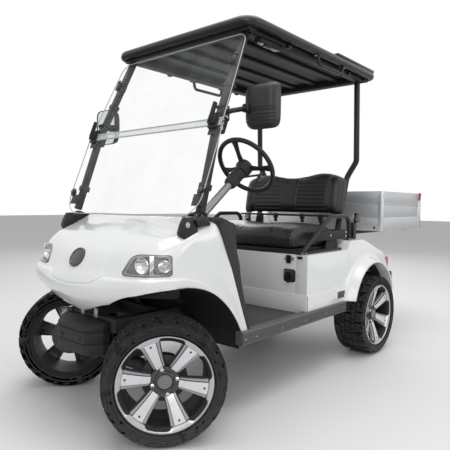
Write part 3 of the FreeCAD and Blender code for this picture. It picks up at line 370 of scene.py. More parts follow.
# Procedural finishes, built from three shared node groups
def group(name, inputs, outputs):
    """A new node group with its input and output nodes."""
    tree = bpy.data.node_groups.new(name, "ShaderNodeTree")
    for title, kind, value in inputs:
        socket = tree.interface.new_socket(title, in_out="INPUT", socket_type="NodeSocket" + kind)
        if value is not None:
            socket.default_value = value
    for title, kind in outputs:
        tree.interface.new_socket(title, in_out="OUTPUT", socket_type="NodeSocket" + kind)
    return tree, tree.nodes.new("NodeGroupInput"), tree.nodes.new("NodeGroupOutput")


def add(tree, kind, **settings):
    """A new shader node; a setting is its property, or else its socket."""
    node = tree.nodes.new(kind)
    for key, value in settings.items():
        if hasattr(node, key):
            setattr(node, key, value)
        else:
            node.inputs[key.replace("_", " ")].default_value = value
    return node


def dial(node, settings):
    """Set the sockets of a node by their names."""
    for name, value in settings.items():
        node.inputs[name].default_value = value


def blank_material(name):
    """A new material with its node tree and its shader."""
    material = bpy.data.materials.new(name)
    material.use_nodes = True
    return material, material.node_tree, material.node_tree.nodes["Principled BSDF"]


def wire(tree, *pairs):
    """Link sockets in a node tree, each pair from an output to an input."""
    for source, target in pairs:
        tree.links.new(source, target)


# cloudy: slow patches that make a colour a little lighter or darker, and its gloss uneven
cloudy, enter, out = group(
    "cloudy",
    [("Vector", "Vector", None), ("Base", "Color", (0.5, 0.5, 0.5, 1)),
     ("Worn", "Color", (0.6, 0.6, 0.6, 1)),
     ("Size", "Float", 6.0), ("Amount", "Float", 0.3), ("Gloss", "Float", 0.4), ("Spread", "Float", 0.1)],
    [("Color", "Color"), ("Roughness", "Float")],
)
patches = add(cloudy, "ShaderNodeTexNoise", Detail=5.0, Roughness=0.62)
patch_share = add(cloudy, "ShaderNodeMath", operation="MULTIPLY")
patch_mix = add(cloudy, "ShaderNodeMix", data_type="RGBA")
gloss_share = add(cloudy, "ShaderNodeMath", operation="MULTIPLY_ADD")
wire(
    cloudy,
    (enter.outputs["Vector"], patches.inputs["Vector"]),
    (enter.outputs["Size"], patches.inputs["Scale"]),
    (patches.outputs["Fac"], patch_share.inputs[0]),
    (enter.outputs["Amount"], patch_share.inputs[1]),
    (patch_share.outputs[0], patch_mix.inputs["Factor"]),
    (enter.outputs["Base"], patch_mix.inputs["A"]),
    (enter.outputs["Worn"], patch_mix.inputs["B"]),
    (patch_mix.outputs["Result"], out.inputs["Color"]),
    (patches.outputs["Fac"], gloss_share.inputs[0]),
    (enter.outputs["Spread"], gloss_share.inputs[1]),
    (enter.outputs["Gloss"], gloss_share.inputs[2]),
    (gloss_share.outputs[0], out.inputs["Roughness"]),
)

# road_dust: grey-brown dust that lies thick near the ground and fades out higher up
road_dust, enter, out = group(
    "road_dust",
    [("Vector", "Vector", None), ("Color", "Color", (0.5, 0.5, 0.5, 1)), ("Roughness", "Float", 0.4),
     ("Top", "Float", 0.6), ("Amount", "Float", 0.3)],
    [("Color", "Color"), ("Roughness", "Float")],
)
height = add(road_dust, "ShaderNodeSeparateXYZ")
fade = add(road_dust, "ShaderNodeMapRange")
dial(fade, {"To Min": 1.0, "To Max": 0.0})
flecks = add(road_dust, "ShaderNodeTexNoise", Scale=38.0, Detail=6.0, Roughness=0.7)
dust_share = add(road_dust, "ShaderNodeMath", operation="MULTIPLY")
dust_amount = add(road_dust, "ShaderNodeMath", operation="MULTIPLY")
dust_mix = add(road_dust, "ShaderNodeMix", data_type="RGBA")
dust_mix.inputs["B"].default_value = (0.20, 0.188, 0.172, 1)
dust_rough = add(road_dust, "ShaderNodeMix", data_type="FLOAT")
dust_rough.inputs["B"].default_value = 0.9
wire(
    road_dust,
    (enter.outputs["Vector"], height.inputs["Vector"]),
    (height.outputs["Z"], fade.inputs["Value"]),
    (enter.outputs["Top"], fade.inputs["From Max"]),
    (enter.outputs["Vector"], flecks.inputs["Vector"]),
    (flecks.outputs["Fac"], dust_share.inputs[0]),
    (fade.outputs["Result"], dust_share.inputs[1]),
    (dust_share.outputs[0], dust_amount.inputs[0]),
    (enter.outputs["Amount"], dust_amount.inputs[1]),
    (dust_amount.outputs[0], dust_mix.inputs["Factor"]),
    (dust_amount.outputs[0], dust_rough.inputs["Factor"]),
    (enter.outputs["Color"], dust_mix.inputs["A"]),
    (enter.outputs["Roughness"], dust_rough.inputs["A"]),
    (dust_mix.outputs["Result"], out.inputs["Color"]),
    (dust_rough.outputs["Result"], out.inputs["Roughness"]),
)

# pebbles: the grain of moulded plastic, vinyl and rubber, small cells with soft borders
pebbles, enter, out = group(
    "pebbles",
    [("Vector", "Vector", None), ("Scale", "Float", 600.0), ("Softness", "Float", 0.5)],
    [("Height", "Float")],
)
cells = add(pebbles, "ShaderNodeTexVoronoi", feature="SMOOTH_F1")
speck = add(pebbles, "ShaderNodeTexNoise", Detail=3.0)
grain_mix = add(pebbles, "ShaderNodeMix", data_type="FLOAT")
wire(
    pebbles,
    (enter.outputs["Vector"], cells.inputs["Vector"]),
    (enter.outputs["Scale"], cells.inputs["Scale"]),
    (enter.outputs["Vector"], speck.inputs["Vector"]),
    (enter.outputs["Scale"], speck.inputs["Scale"]),
    (enter.outputs["Softness"], grain_mix.inputs["Factor"]),
    (cells.outputs["Distance"], grain_mix.inputs["A"]),
    (speck.outputs["Fac"], grain_mix.inputs["B"]),
    (grain_mix.outputs["Result"], out.inputs["Height"]),
)


def surface(name, base, worn, gloss, patch=6.0, amount=0.5, spread=0.12, dust=0.0, dust_top=0.7,
            grain=500.0, softness=0.5, relief=0.15, metallic=0.0, coat=0.0, stretch=None,
            gleam=0.5):
    """A procedural finish: patchy colour and gloss, grain in relief, and road dust low down."""
    material, tree, shader = blank_material(name)
    dial(shader, {"Metallic": metallic, "Coat Weight": coat, "Coat Roughness": 0.06,
                  "Specular IOR Level": gleam})
    place = add(tree, "ShaderNodeTexCoord")
    vector = place.outputs["Object"]
    patch_vector = vector
    if stretch:
        squeeze = add(tree, "ShaderNodeMapping")
        squeeze.inputs["Scale"].default_value = stretch
        tree.links.new(vector, squeeze.inputs["Vector"])
        patch_vector = squeeze.outputs["Vector"]
    clouds = add(tree, "ShaderNodeGroup", node_tree=cloudy)
    dial(clouds, {"Base": (*base, 1), "Worn": (*worn, 1), "Size": patch, "Amount": amount, "Gloss": gloss,
                  "Spread": spread})
    tree.links.new(patch_vector, clouds.inputs["Vector"])
    color, rough = clouds.outputs["Color"], clouds.outputs["Roughness"]
    if dust:
        dusty = add(tree, "ShaderNodeGroup", node_tree=road_dust)
        dial(dusty, {"Top": dust_top, "Amount": dust})
        wire(
            tree,
            (vector, dusty.inputs["Vector"]),
            (color, dusty.inputs["Color"]),
            (rough, dusty.inputs["Roughness"]),
        )
        color, rough = dusty.outputs["Color"], dusty.outputs["Roughness"]
    wire(tree, (color, shader.inputs["Base Color"]), (rough, shader.inputs["Roughness"]))
    if relief:
        grains = add(tree, "ShaderNodeGroup", node_tree=pebbles)
        dial(grains, {"Scale": grain, "Softness": softness})
        bump = add(tree, "ShaderNodeBump")
        dial(bump, {"Strength": relief, "Distance": 0.001})
        wire(
            tree,
            (patch_vector, grains.inputs["Vector"]),
            (grains.outputs["Height"], bump.inputs["Height"]),
            (bump.outputs["Normal"], shader.inputs["Normal"]),
        )
    return material


def glassy(name, tint, alpha, rough=0.03):
    """Clear hard plastic: mostly see-through, with its own gloss and a little dust film."""
    material, tree, shader = blank_material(name)
    dial(shader, {"Metallic": 0.0, "Transmission Weight": 0.0})
    place = add(tree, "ShaderNodeTexCoord")
    film = add(tree, "ShaderNodeGroup", node_tree=cloudy)
    dial(film, {"Base": (*tint, 1), "Worn": (*[min(1, part + 0.12) for part in tint], 1), "Size": 9.0,
                "Gloss": rough, "Spread": 0.05})
    wire(
        tree,
        (place.outputs["Object"], film.inputs["Vector"]),
        (film.outputs["Color"], shader.inputs["Base Color"]),
        (film.outputs["Roughness"], shader.inputs["Roughness"]),
    )
    smear = add(tree, "ShaderNodeTexNoise", Scale=5.0, Detail=6.0, Roughness=0.6)
    veil = add(tree, "ShaderNodeMapRange")
    dial(veil, {"From Min": 0.35, "From Max": 0.75, "To Min": alpha, "To Max": alpha + 0.07})
    wire(
        tree,
        (place.outputs["Object"], smear.inputs["Vector"]),
        (smear.outputs["Fac"], veil.inputs["Value"]),
        (veil.outputs["Result"], shader.inputs["Alpha"]),
    )
    return material


# The studio: a pale floor under soft lamps, and a camera where the photographer stood, two metres
# ahead and to the left of the front axle at the height of the seat's backrest.
camera_data = bpy.data.cameras.new("camera")
camera = bpy.data.objects.new("camera", camera_data)
bpy.context.scene.collection.objects.link(camera)
bpy.context.scene.camera = camera
camera_yaw = math.radians(220.83)
camera_pitch = math.radians(-2.527)
camera_roll = math.radians(0.714)
ahead = Vector((
    math.cos(camera_yaw) * math.cos(camera_pitch),
    math.sin(camera_yaw) * math.cos(camera_pitch),
    math.sin(camera_pitch),
))
level_right = ahead.cross(Vector((0, 0, 1))).normalized()
level_up = level_right.cross(ahead)
right = level_right * math.cos(camera_roll) + level_up * math.sin(camera_roll)
up = level_up * math.cos(camera_roll) - level_right * math.sin(camera_roll)
eye = spot(3046.6, 1889.7, 963.4)
camera.matrix_world = Matrix((
    (right.x, up.x, -ahead.x, eye.x),
    (right.y, up.y, -ahead.y, eye.y),
    (right.z, up.z, -ahead.z, eye.z),
    (0, 0, 0, 1),
))
camera_data.sensor_width = 36
camera_data.lens = 39.01
camera_data.clip_start = 0.05
camera_data.clip_end = 200

bpy.context.scene.view_settings.view_transform = "Standard"
world = bpy.data.worlds.new("studio")
bpy.context.scene.world = world
world.use_nodes = True
tree = world.node_tree
rays = tree.nodes.new("ShaderNodeLightPath")
seen = tree.nodes.new("ShaderNodeMath")
seen.operation = "MAXIMUM"
seen_too = tree.nodes.new("ShaderNodeMath")
seen_too.operation = "MAXIMUM"
strength = tree.nodes.new("ShaderNodeMapRange")
dial(strength, {"To Min": 0.36, "To Max": 1.0})
sky = tree.nodes["Background"]
sky.inputs["Color"].default_value = (1, 1, 1, 1)
wire(
    tree,
    (rays.outputs["Is Camera Ray"], seen.inputs[0]),
    (rays.outputs["Is Transmission Ray"], seen.inputs[1]),
    (seen.outputs[0], seen_too.inputs[0]),
    (rays.outputs["Is Glossy Ray"], seen_too.inputs[1]),
    (seen_too.outputs[0], strength.inputs["Value"]),
    (strength.outputs["Result"], sky.inputs["Strength"]),
)


def lamp(name, place, target, size, power):
    light = bpy.data.lights.new(name, "AREA")
    light.shape = "RECTANGLE"
    light.size, light.size_y = size
    light.energy = power
    lamp_object = bpy.data.objects.new(name, light)
    bpy.context.scene.collection.objects.link(lamp_object)
    lamp_object.location = place
    direction = Vector(target) - Vector(place)
    lamp_object.rotation_euler = direction.to_track_quat("-Z", "Y").to_euler()


lamp("overhead", (0.3, 0.4, 5.0), (0, 0, 0.5), (5.0, 4.0), 168)
lamp("front_left", (4.5, 3.0, 3.2), (0.4, 0, 0.8), (3.0, 3.0), 76)
lamp("side_left", (-1.5, 5.5, 2.6), (0, 0, 0.7), (3.5, 2.5), 56)
lamp("rear_right", (-4.5, -4.0, 3.2), (0, 0, 0.8), (3.5, 3.0), 92)

floor = primitive(bpy.ops.mesh.primitive_plane_add, "floor", size=60)
floor_material, _, floor_shader = blank_material("pale_floor")
dial(floor_shader, {"Base Color": (0.8, 0.8, 0.8, 1), "Roughness": 0.6})
paint(floor, floor_material)
floor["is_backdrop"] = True
floor.select_set(False)


# Tyres: low-profile all-terrain rubber, moulded in one piece with staggered tread blocks, wrap-over
# shoulder lugs and two raised rings on each sidewall. Dust from the road stays in the tread.
rubber = surface("tyre_rubber", (0.013, 0.013, 0.0135), (0.030, 0.029, 0.028), 0.60, patch=9, amount=0.8,
                 spread=0.25, dust=0.32, dust_top=0.62, grain=700, relief=0.3, gleam=0.25)
TREAD_STEPS = 120
TREAD_R = 250
SHOULDER_R = 240
tyre_outline = [
    (183, 78), (184, 84), (196, 87), (202, 93), (206, 98), (207, 100), (210, 100), (211, 98.5),
    (222, 102.5), (223, 104), (227, 104), (228, 103), (236, 101.5), (243, 97), (247.5, 90), (249.5, 80),
    (250.5, 66), (251, 50), (251, 46), (251.4, 42), (251.8, 20), (251.8, 16), (251.8, 4),
]
tyre_outline += [(r, -y) for r, y in reversed(tyre_outline)]
tyre = spun("tyre", tyre_outline, TREAD_STEPS)
edit(tyre)


def tread_step(centre):
    turn = math.atan2(centre.z, centre.x) % math.tau
    return int(turn / math.tau * TREAD_STEPS)


def groove(centre, normal):
    """Faces of the tread between its blocks: round grooves, slots across them and shoulder slots."""
    across = centre.y * 1000
    radius = math.hypot(centre.x, centre.z) * 1000
    if radius < SHOULDER_R:
        return False
    side = abs(across)
    step = tread_step(centre)
    if radius > TREAD_R and (46 < side < 50 or 16 < side < 20):
        return True
    if side > 50:
        return (step + (0 if across > 0 else 2)) % 5 == 0
    if side > 20:
        return (step + (1 if across > 0 else 3) + int(side > 33)) % 5 == 0
    return step % 10 in (0, 4)


def shoulder_tab(centre, normal):
    radius = math.hypot(centre.x, centre.z)
    return 0.2285 < radius < 0.2362 and abs(centre.y) > 0.1 and tread_step(centre) % 5 == 2


pick(tyre, groove)
bpy.ops.mesh.extrude_region_shrink_fatten(TRANSFORM_OT_shrink_fatten={"value": -0.006})
leave()
pick(tyre, shoulder_tab)
bpy.ops.mesh.extrude_region_shrink_fatten(TRANSFORM_OT_shrink_fatten={"value": 0.0012})
leave()
paint(tyre, rubber)
smoothed(tyre, 32)

# Wheels: cast six-spoke alloy, the spokes and the scalloped lip turned bright on a lathe, and the hub and
# the grooves beside each spoke left in gloss black; the barrel is black, made darker and duller than that as
# painted shade inside the wheel; four nuts and a grey cap.
bright = surface("machined_alloy", (0.63, 0.64, 0.66), (0.82, 0.83, 0.84), 0.20, patch=30, amount=0.7,
                 spread=0.12, dust=0.25, dust_top=0.4, grain=1400, relief=0.06, metallic=1.0)
side_metal = surface("spoke_side", (0.30, 0.31, 0.33), (0.42, 0.43, 0.45), 0.30, patch=30, amount=0.7,
                     dust=0.3, dust_top=0.4, grain=900, relief=0.1, metallic=0.9)
gloss_black = surface("wheel_black", (0.010, 0.010, 0.011), (0.022, 0.021, 0.020), 0.16, patch=14,
                      spread=0.2, dust=0.35, dust_top=0.5, grain=500, relief=0.05, coat=0.5)
lip_metal = surface("lip_metal", (0.44, 0.45, 0.47), (0.58, 0.59, 0.60), 0.24, patch=30, amount=0.7,
                    dust=0.25, dust_top=0.4, grain=900, relief=0.08, metallic=1.0)
# The barrel's black is partly its own paint and partly painted shade: darker and duller than the gloss
# black, so the shadowed inside of the wheel reads black.
barrel_black_painted_shade = surface("barrel_black_painted_shade", (0.006, 0.006, 0.0065), (0.016, 0.015, 0.014), 0.42, patch=14,
                       spread=0.15, dust=0.2, dust_top=0.5, grain=500, relief=0.1, gleam=0.15)
cap_grey = surface("cap_grey", (0.16, 0.165, 0.17), (0.24, 0.24, 0.245), 0.32, patch=40, relief=0.1)
nut_metal = surface("nut_metal", (0.5, 0.5, 0.5), (0.72, 0.71, 0.7), 0.22, patch=60, relief=0.05,
                    metallic=1.0)
SPOKE_FOOT_R = 57.0
SPOKE_TIP_R = 192.5
SPOKE_ROWS = 12


def spoke_height(radius):
    share = (radius - SPOKE_FOOT_R) / (190 - SPOKE_FOOT_R)
    return 51 + 36 * share ** 0.85


def spoke_land(share):
    """Half the width of a spoke's bright land, at a share of the way from its foot to its tip."""
    return 13 + 13.5 * share ** 1.2 + 3 * max(0, 0.25 - share)


def spoke_corner(column, row):
    """One point of a spoke: bright land, groove, side land and wall, from the hub out to the lip."""
    radius = SPOKE_FOOT_R + (SPOKE_TIP_R - SPOKE_FOOT_R) * row / SPOKE_ROWS
    share = row / SPOKE_ROWS
    land = spoke_land(share)
    wing = land + 8 + 7 * share + 20 * max(0, share - 0.72)
    across = (wing + 5, wing + 2, wing, land + 2.6, land + 2.2, land + 0.6, land)
    down = (-26, -8, -4.5, -4, -5.5, -5.5, 0)
    place = column - 7
    index = min(abs(place), 7)
    if index == 0:
        offset, drop = 0, 0.6
    else:
        offset, drop = across[7 - index], down[7 - index]
    if radius > 184:
        drop = max(drop, -5)
    y = spoke_height(radius) + drop
    return Vector((radius / 1000, y / 1000, math.copysign(offset, place) / 1000))


spoke = grid("spoke", 14, SPOKE_ROWS, spoke_corner)
faced(spoke)
face_out(spoke, Vector((0, 1, 0)))
for material in (bright, side_metal, gloss_black):
    paint(spoke, material)
for face in spoke.data.polygons:
    land = spoke_land((face.center.x * 1000 - SPOKE_FOOT_R) / (SPOKE_TIP_R - SPOKE_FOOT_R))
    offset = abs(face.center.z) * 1000
    if offset < land + 0.2:
        face.material_index = 0
    elif offset < land + 2.5:
        face.material_index = 2
    else:
        face.material_index = 1
rivet = spun("rivet", [(0, 3.6), (2.6, 3.2), (4.6, 1.4), (5.2, -2)], 12)
paint(rivet, gloss_black)
placed(rivet, Vector((0.158, (spoke_height(158) + 0.4) / 1000, 0)))
merged([spoke, rivet])
spokes = [spoke]
for index in range(1, 6):
    turned = duplicate(spoke, "spoke")
    turned.rotation_euler = (0, math.radians(60 * index), 0)
    settle(turned)
    spokes.append(turned)

barrel = spun("barrel", [
    (167, 62), (172, 80), (181, 86.5), (187, 91), (190, 93.0), (194.5, 93.4), (195.8, 91), (195, 88),
    (186, 84), (182.2, 79), (182, 60), (182, -79), (187, -86), (195.8, -90), (195.8, -93.5), (173, -93.5),
    (173, -40), (167, 10), (167, 62),
], 96)
paint(barrel, barrel_black_painted_shade)
lip = spun("lip", [
    (169.5, 72), (171.5, 84), (174, 88.6), (180, 90.6), (189, 94.6), (193, 94.8), (194.4, 93),
], 144)
for vertex in lip.data.vertices:
    radius = math.hypot(vertex.co.x, vertex.co.z)
    turn = math.atan2(vertex.co.z, vertex.co.x)
    nearness = abs((math.degrees(turn) + 30) % 60 - 30) / 30
    wave = 1 - min(1, max(0, (nearness - 0.38) / 0.16))
    wave = wave * wave * (3 - 2 * wave)
    if radius < 0.185:
        target = 0.1925 + (radius - 0.1925) * (0.34 + 0.66 * wave)
        vertex.co.x *= target / radius
        vertex.co.z *= target / radius
        vertex.co.y += 0.0022 * (1 - wave)
paint(lip, lip_metal)
hub = spun("hub", [
    (0, 60), (26, 60), (29, 57), (29.5, 50), (33, 49.5), (35, 54), (38, 55), (41, 53), (43, 47), (58, 46),
    (62, 49), (64, 46), (66, 30), (60, 12), (0, 12),
], 64)
paint(hub, gloss_black)
paint(hub, cap_grey)
for face in hub.data.polygons:
    if math.hypot(face.center.x, face.center.z) < 0.0285 and face.center.y > 0.05:
        face.material_index = 1
nuts = []
for index in range(4):
    nut = spun("nut", [(0, 62), (4, 62), (8.5, 59.5), (9.6, 57), (9.6, 45), (12, 44.5), (12.5, 43)], 6)
    paint(nut, nut_metal)
    placed(nut, (0.0505, 0, 0))
    nut.rotation_euler = (0, math.radians(90 * index + 22), 0)
    settle(nut)
    nuts.append(nut)
wheel = merged([*spokes, barrel, lip, hub, *nuts])
wheel.name = "wheel"
bpy.ops.object.shade_smooth_by_angle(angle=math.radians(28))

# A front wheel stands on an arm from its kingpin, both turned right as in the photo.
FRONT_AXLE_X = 1670.0
AXLE_Z = 252
KINGPIN_Y = 363
ARM = 80
REAR_WHEEL_Y = 496
STEER = math.radians(39)
FRONT_ROLL = math.radians(-9)
REAR_ROLL = math.radians(35)
arm_x, arm_y = ARM * math.sin(STEER), ARM * math.cos(STEER)
for name, side, centre, turn, roll in (
    ("front_left", 1, (FRONT_AXLE_X + arm_x, KINGPIN_Y + arm_y, AXLE_Z), STEER, FRONT_ROLL),
    ("front_right", -1, (FRONT_AXLE_X - arm_x, -KINGPIN_Y - arm_y, AXLE_Z), STEER, FRONT_ROLL),
    ("rear_left", 1, (0, REAR_WHEEL_Y, AXLE_Z), 0, REAR_ROLL),
    ("rear_right", -1, (0, -REAR_WHEEL_Y, AXLE_Z), 0, REAR_ROLL),
):
    for original, stem, slot in ((tyre, "tyre", "tyre_rubber"), (wheel, "rim", "machined_alloy")):
        piece = duplicate(original, stem + "_detail_" + name)
        piece.rotation_euler = (0, roll, 0)
        settle(piece)
        if side < 0:
            piece.scale = (1, -1, 1)
            settle(piece)
            flipped(piece)
        placed(piece, spot(*centre), (0, 0, -turn))
        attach(piece, "wheel_" + name)
        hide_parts(stem + "_" + name)
bpy.data.objects.remove(tyre)
bpy.data.objects.remove(wheel)


# Front cowl: one glossy white moulding over the front axle, bolted to the frame. Its fascia and wheel
# flares stand proud of the hood below a chamfered ledge, and a tongue with a blank badge laps over them.
#
# columns: height, rear x, half width, corner x, corner half width, corner radius, nose x, nose radius
COWL_LEVELS = (
    (362, 1264, 500, 1668, 486, 200, 1804, 800),
    (472, 1309, 500, 1722, 478, 210, 1850, 800),
    (530, 1331, 499, 1766, 474, 212, 1906, 800),
    (583, 1351, 498, 1808, 474, 185, 1939, 800),
    (630, 1369, 497, 1820, 476, 155, 1921, 800),
    (670, 1384, 496, 1808, 476, 138, 1891, 800),
    (745, 1413, 491, 1764, 475, 130, 1849, 800),
    (785, 1428, 489, 1729, 474, 125, 1800, 800),
    (818, 1442, 487, 1678, 471, 118, 1750, 800),
    (850, 1458, 482, 1594, 456, 88, 1701, 740),
    (875, 1474, 472, 1540, 438, 50, 1650, 640),
    (891, 1496, 446, 1525, 408, 22, 1601, 540),
    (898, 1512, 420, 1522, 380, 9, 1577, 460),
)
# The way round the cowl: 0 at its rear edge, 1 to 2 the front corner, 3 to 4 the nose.
# columns: way round, height of the lower edge, height of the ledge
COWL_EDGES = (
    (0.00, 362, 378), (0.05, 362, 379), (0.10, 362, 396), (0.148, 366, 441), (0.17, 397, 461),
    (0.205, 438, 490), (0.274, 487, 535), (0.339, 524, 568), (0.417, 559, 598), (0.505, 583, 620),
    (0.65, 604, 643), (0.829, 616, 658), (0.944, 618, 663), (1.24, 616.5, 665), (1.564, 609, 663.5),
    (1.88, 593, 660.5), (2.30, 575, 656.5), (2.60, 560, 656), (2.79, 551, 655), (2.87, 547, 647),
    (3.00, 540, 635.5), (3.22, 530, 626.5), (3.60, 502, 620), (4.00, 480, 617),
)
# columns: height above the ledge, share of the step back to the hood, share of the tongue's groove
LEDGE_ROWS = (
    (-14, 0, 0), (-10.5, 0, 0), (-9, 0.1, 0), (-5, 0.55, 0), (-2.8, 0.82, 0), (-2.3, 0.88, 1),
    (-0.6, 1, 1), (0, 1, 0), (1.5, 1, 0),
)
LEDGE_STEP = 10.0
HOOD_BLEND = 150
TOP_Z = 898.0


def cowl_plan(way, height):
    """A point of the cowl's level outline, left side, as (x, y) in millimetres."""
    rear, half, corner_x, corner_half, radius, nose, nose_radius = between(COWL_LEVELS, min(height, TOP_Z))
    rear_point = Vector((rear, half))
    corner = Vector((corner_x, corner_half))
    tip = Vector((nose, 0))
    start, centre, end = arc_corner(rear_point, corner, tip, radius)
    nose_start, nose_centre, nose_end = arc_corner(corner, tip, Vector((corner_x, -corner_half)),
                                                   nose_radius)
    if way <= 1:
        return rear_point.lerp(start, way)
    if way <= 2:
        return on_arc(start, centre, end, way - 1)
    if way <= 3:
        return end.lerp(nose_start, way - 2)
    return on_arc(nose_start, nose_centre, nose_end, (way - 3) / 2)


def on_side(way, side):
    """The way round of the same place on one side of the cowl."""
    return way if side > 0 else 8 - way


def cowl_point(way, height, inset=0.0):
    """A point of the cowl in metres; way 4 to 8 is the right side, inset moves it into the body."""
    side = 1 if way <= 4 else -1
    way = on_side(way, side)
    here = cowl_plan(way, height)
    ahead = cowl_plan(min(way + 0.02, 4), height)
    behind = cowl_plan(max(way - 0.02, 0), height)
    along = (ahead - behind).normalized()
    inward = Vector((along.y, -along.x))
    if inward.x > 0:
        inward = -inward
    here = here + inward * inset
    return spot(here.x, side * here.y, height)


def hood_step(way, height, ledge):
    """How far the hood lies back from the fascia's surface at a height above the ledge."""
    way = min(way, 8 - way)
    wide = ramp(0.05, 0.16, way) * (1 - 0.9 * ramp(2.72, 2.86, way))
    return LEDGE_STEP * wide * (1 - ramp(0, HOOD_BLEND, height - ledge))


def ways():
    half = [(index / 42) ** 1.3 for index in range(42)]
    half += [1 + index / 26 for index in range(26)]
    half += [2 + index / 26 for index in range(26)]
    half += [3 + index / 12 for index in range(13)]
    return half + [8 - way for way in reversed(half[:-1])]


WAYS = ways()
FASCIA_ROWS = 7
HOOD_ROWS = 38
COWL_ROWS = FASCIA_ROWS + len(LEDGE_ROWS) + HOOD_ROWS


def cowl_vertex(column, row):
    way = WAYS[column]
    near = min(way, 8 - way)
    low, ledge = between(COWL_EDGES, near)
    if row < FASCIA_ROWS:
        return cowl_point(way, low + (ledge - 14 - low) * row / FASCIA_ROWS)
    row -= FASCIA_ROWS
    if row < len(LEDGE_ROWS):
        rise, step, groove = LEDGE_ROWS[row]
        inset = hood_step(way, ledge, ledge) * step + 3.2 * groove * ramp(2.76, 2.8, near)
        return cowl_point(way, ledge + rise, inset)
    share = (row - len(LEDGE_ROWS) + 1) / HOOD_ROWS
    height = ledge + 1.5 + (TOP_Z - ledge - 1.5) * (1 - (1 - min(share, 1)) ** 1.7)
    point = cowl_point(way, height, hood_step(way, height, ledge))
    if row == COWL_ROWS - FASCIA_ROWS:
        point.x = spot(1512, 0, 0).x
        point.z += 0.0008
    return point


cowl = grid("cowl_detail", len(WAYS) - 1, COWL_ROWS, cowl_vertex)
faced(cowl, CLOSE)
face_out(cowl, Vector((1, 0, 0.3)))
modified(cowl, "SOLIDIFY", thickness=0.0045, offset=-1)
shell = duplicate(cowl, "shell")

# columns: way round, height; the corners of the lamp's opening, and the radius of each in millimetres
LAMP_CORNERS = ((1.10, 670, 10), (2.37, 665, 12), (2.29, 753, 26), (1.345, 754, 18))


def lamp_outline(shrink):
    """The lamp's rounded outline as (way, height) pairs, moved inwards by some millimetres."""
    scale = 105.0
    corners = [Vector((way * scale, height)) for way, height, radius in LAMP_CORNERS]
    centre = sum(corners, Vector((0, 0))) / 4
    moved = []
    for corner in corners:
        to_centre = centre - corner
        step = Vector((math.copysign(shrink, to_centre.x), math.copysign(shrink, to_centre.y)))
        moved.append(corner + step)
    points = []
    for index, corner in enumerate(moved):
        radius = max(LAMP_CORNERS[index][2] - shrink * 0.5, 4)
        start, middle, end = arc_corner(moved[index - 1], corner, moved[(index + 1) % 4], radius)
        points += [on_arc(start, middle, end, step / 8) for step in range(9)]
        following = arc_corner(corner, moved[(index + 1) % 4], moved[(index + 2) % 4], 8)[0]
        points += [end.lerp(following, step / 4) for step in (1, 2, 3)]
    return [(point.x / scale, point.y) for point in points]


def lamp_plug(name, side, shrink, out=30, deep=40):
    """A plug with the lamp's outline, from outside the cowl's surface to deep behind it."""
    outline = lamp_outline(shrink)
    count = len(outline)
    plug = primitive(bpy.ops.mesh.primitive_cylinder_add, name, vertices=count, radius=1, depth=2,
                     end_fill_type="TRIFAN")
    for vertex in plug.data.vertices:
        inset = -out if vertex.co.z > 0 else deep
        if vertex.co.xy.length < 0.5:
            way = sum(point[0] for point in outline) / count
            height = sum(point[1] for point in outline) / count
        else:
            turn = math.atan2(vertex.co.x, vertex.co.y) % math.tau
            way, height = outline[round(turn / math.tau * count) % count]
        vertex.co = cowl_point(on_side(way, side), height, inset)
    faced(plug)
    return plug


body_white = surface("body_white", (0.80, 0.81, 0.815), (0.70, 0.71, 0.72), 0.15, patch=2.5, amount=0.35,
                     spread=0.08, dust=0.22, dust_top=0.62, grain=240, softness=1.0, relief=0.03, coat=0.6)
chrome = surface("lamp_chrome", (0.78, 0.79, 0.8), (0.9, 0.9, 0.9), 0.08, patch=40, relief=0.0,
                 metallic=1.0)
lamp_grey = surface("lamp_grey", (0.20, 0.205, 0.21), (0.32, 0.32, 0.33), 0.18, patch=40, spread=0.1,
                    relief=0.05, metallic=0.6)
moulded = surface("moulded_black", (0.0115, 0.0115, 0.012), (0.026, 0.025, 0.024), 0.42, patch=7,
                  amount=0.6, spread=0.18, dust=0.3, dust_top=0.5, grain=900, relief=0.25, gleam=0.22)
lens_border = surface("lens_border", (0.24, 0.25, 0.26), (0.34, 0.34, 0.35), 0.12, patch=20, relief=0.02,
                      coat=0.5)
bulb_glass = surface("bulb_glass", (0.75, 0.74, 0.7), (0.85, 0.84, 0.8), 0.1, patch=50, relief=0.0)
lens_clear = glassy("lamp_lens", (0.7, 0.72, 0.74), 0.10)
lamp_pieces = []
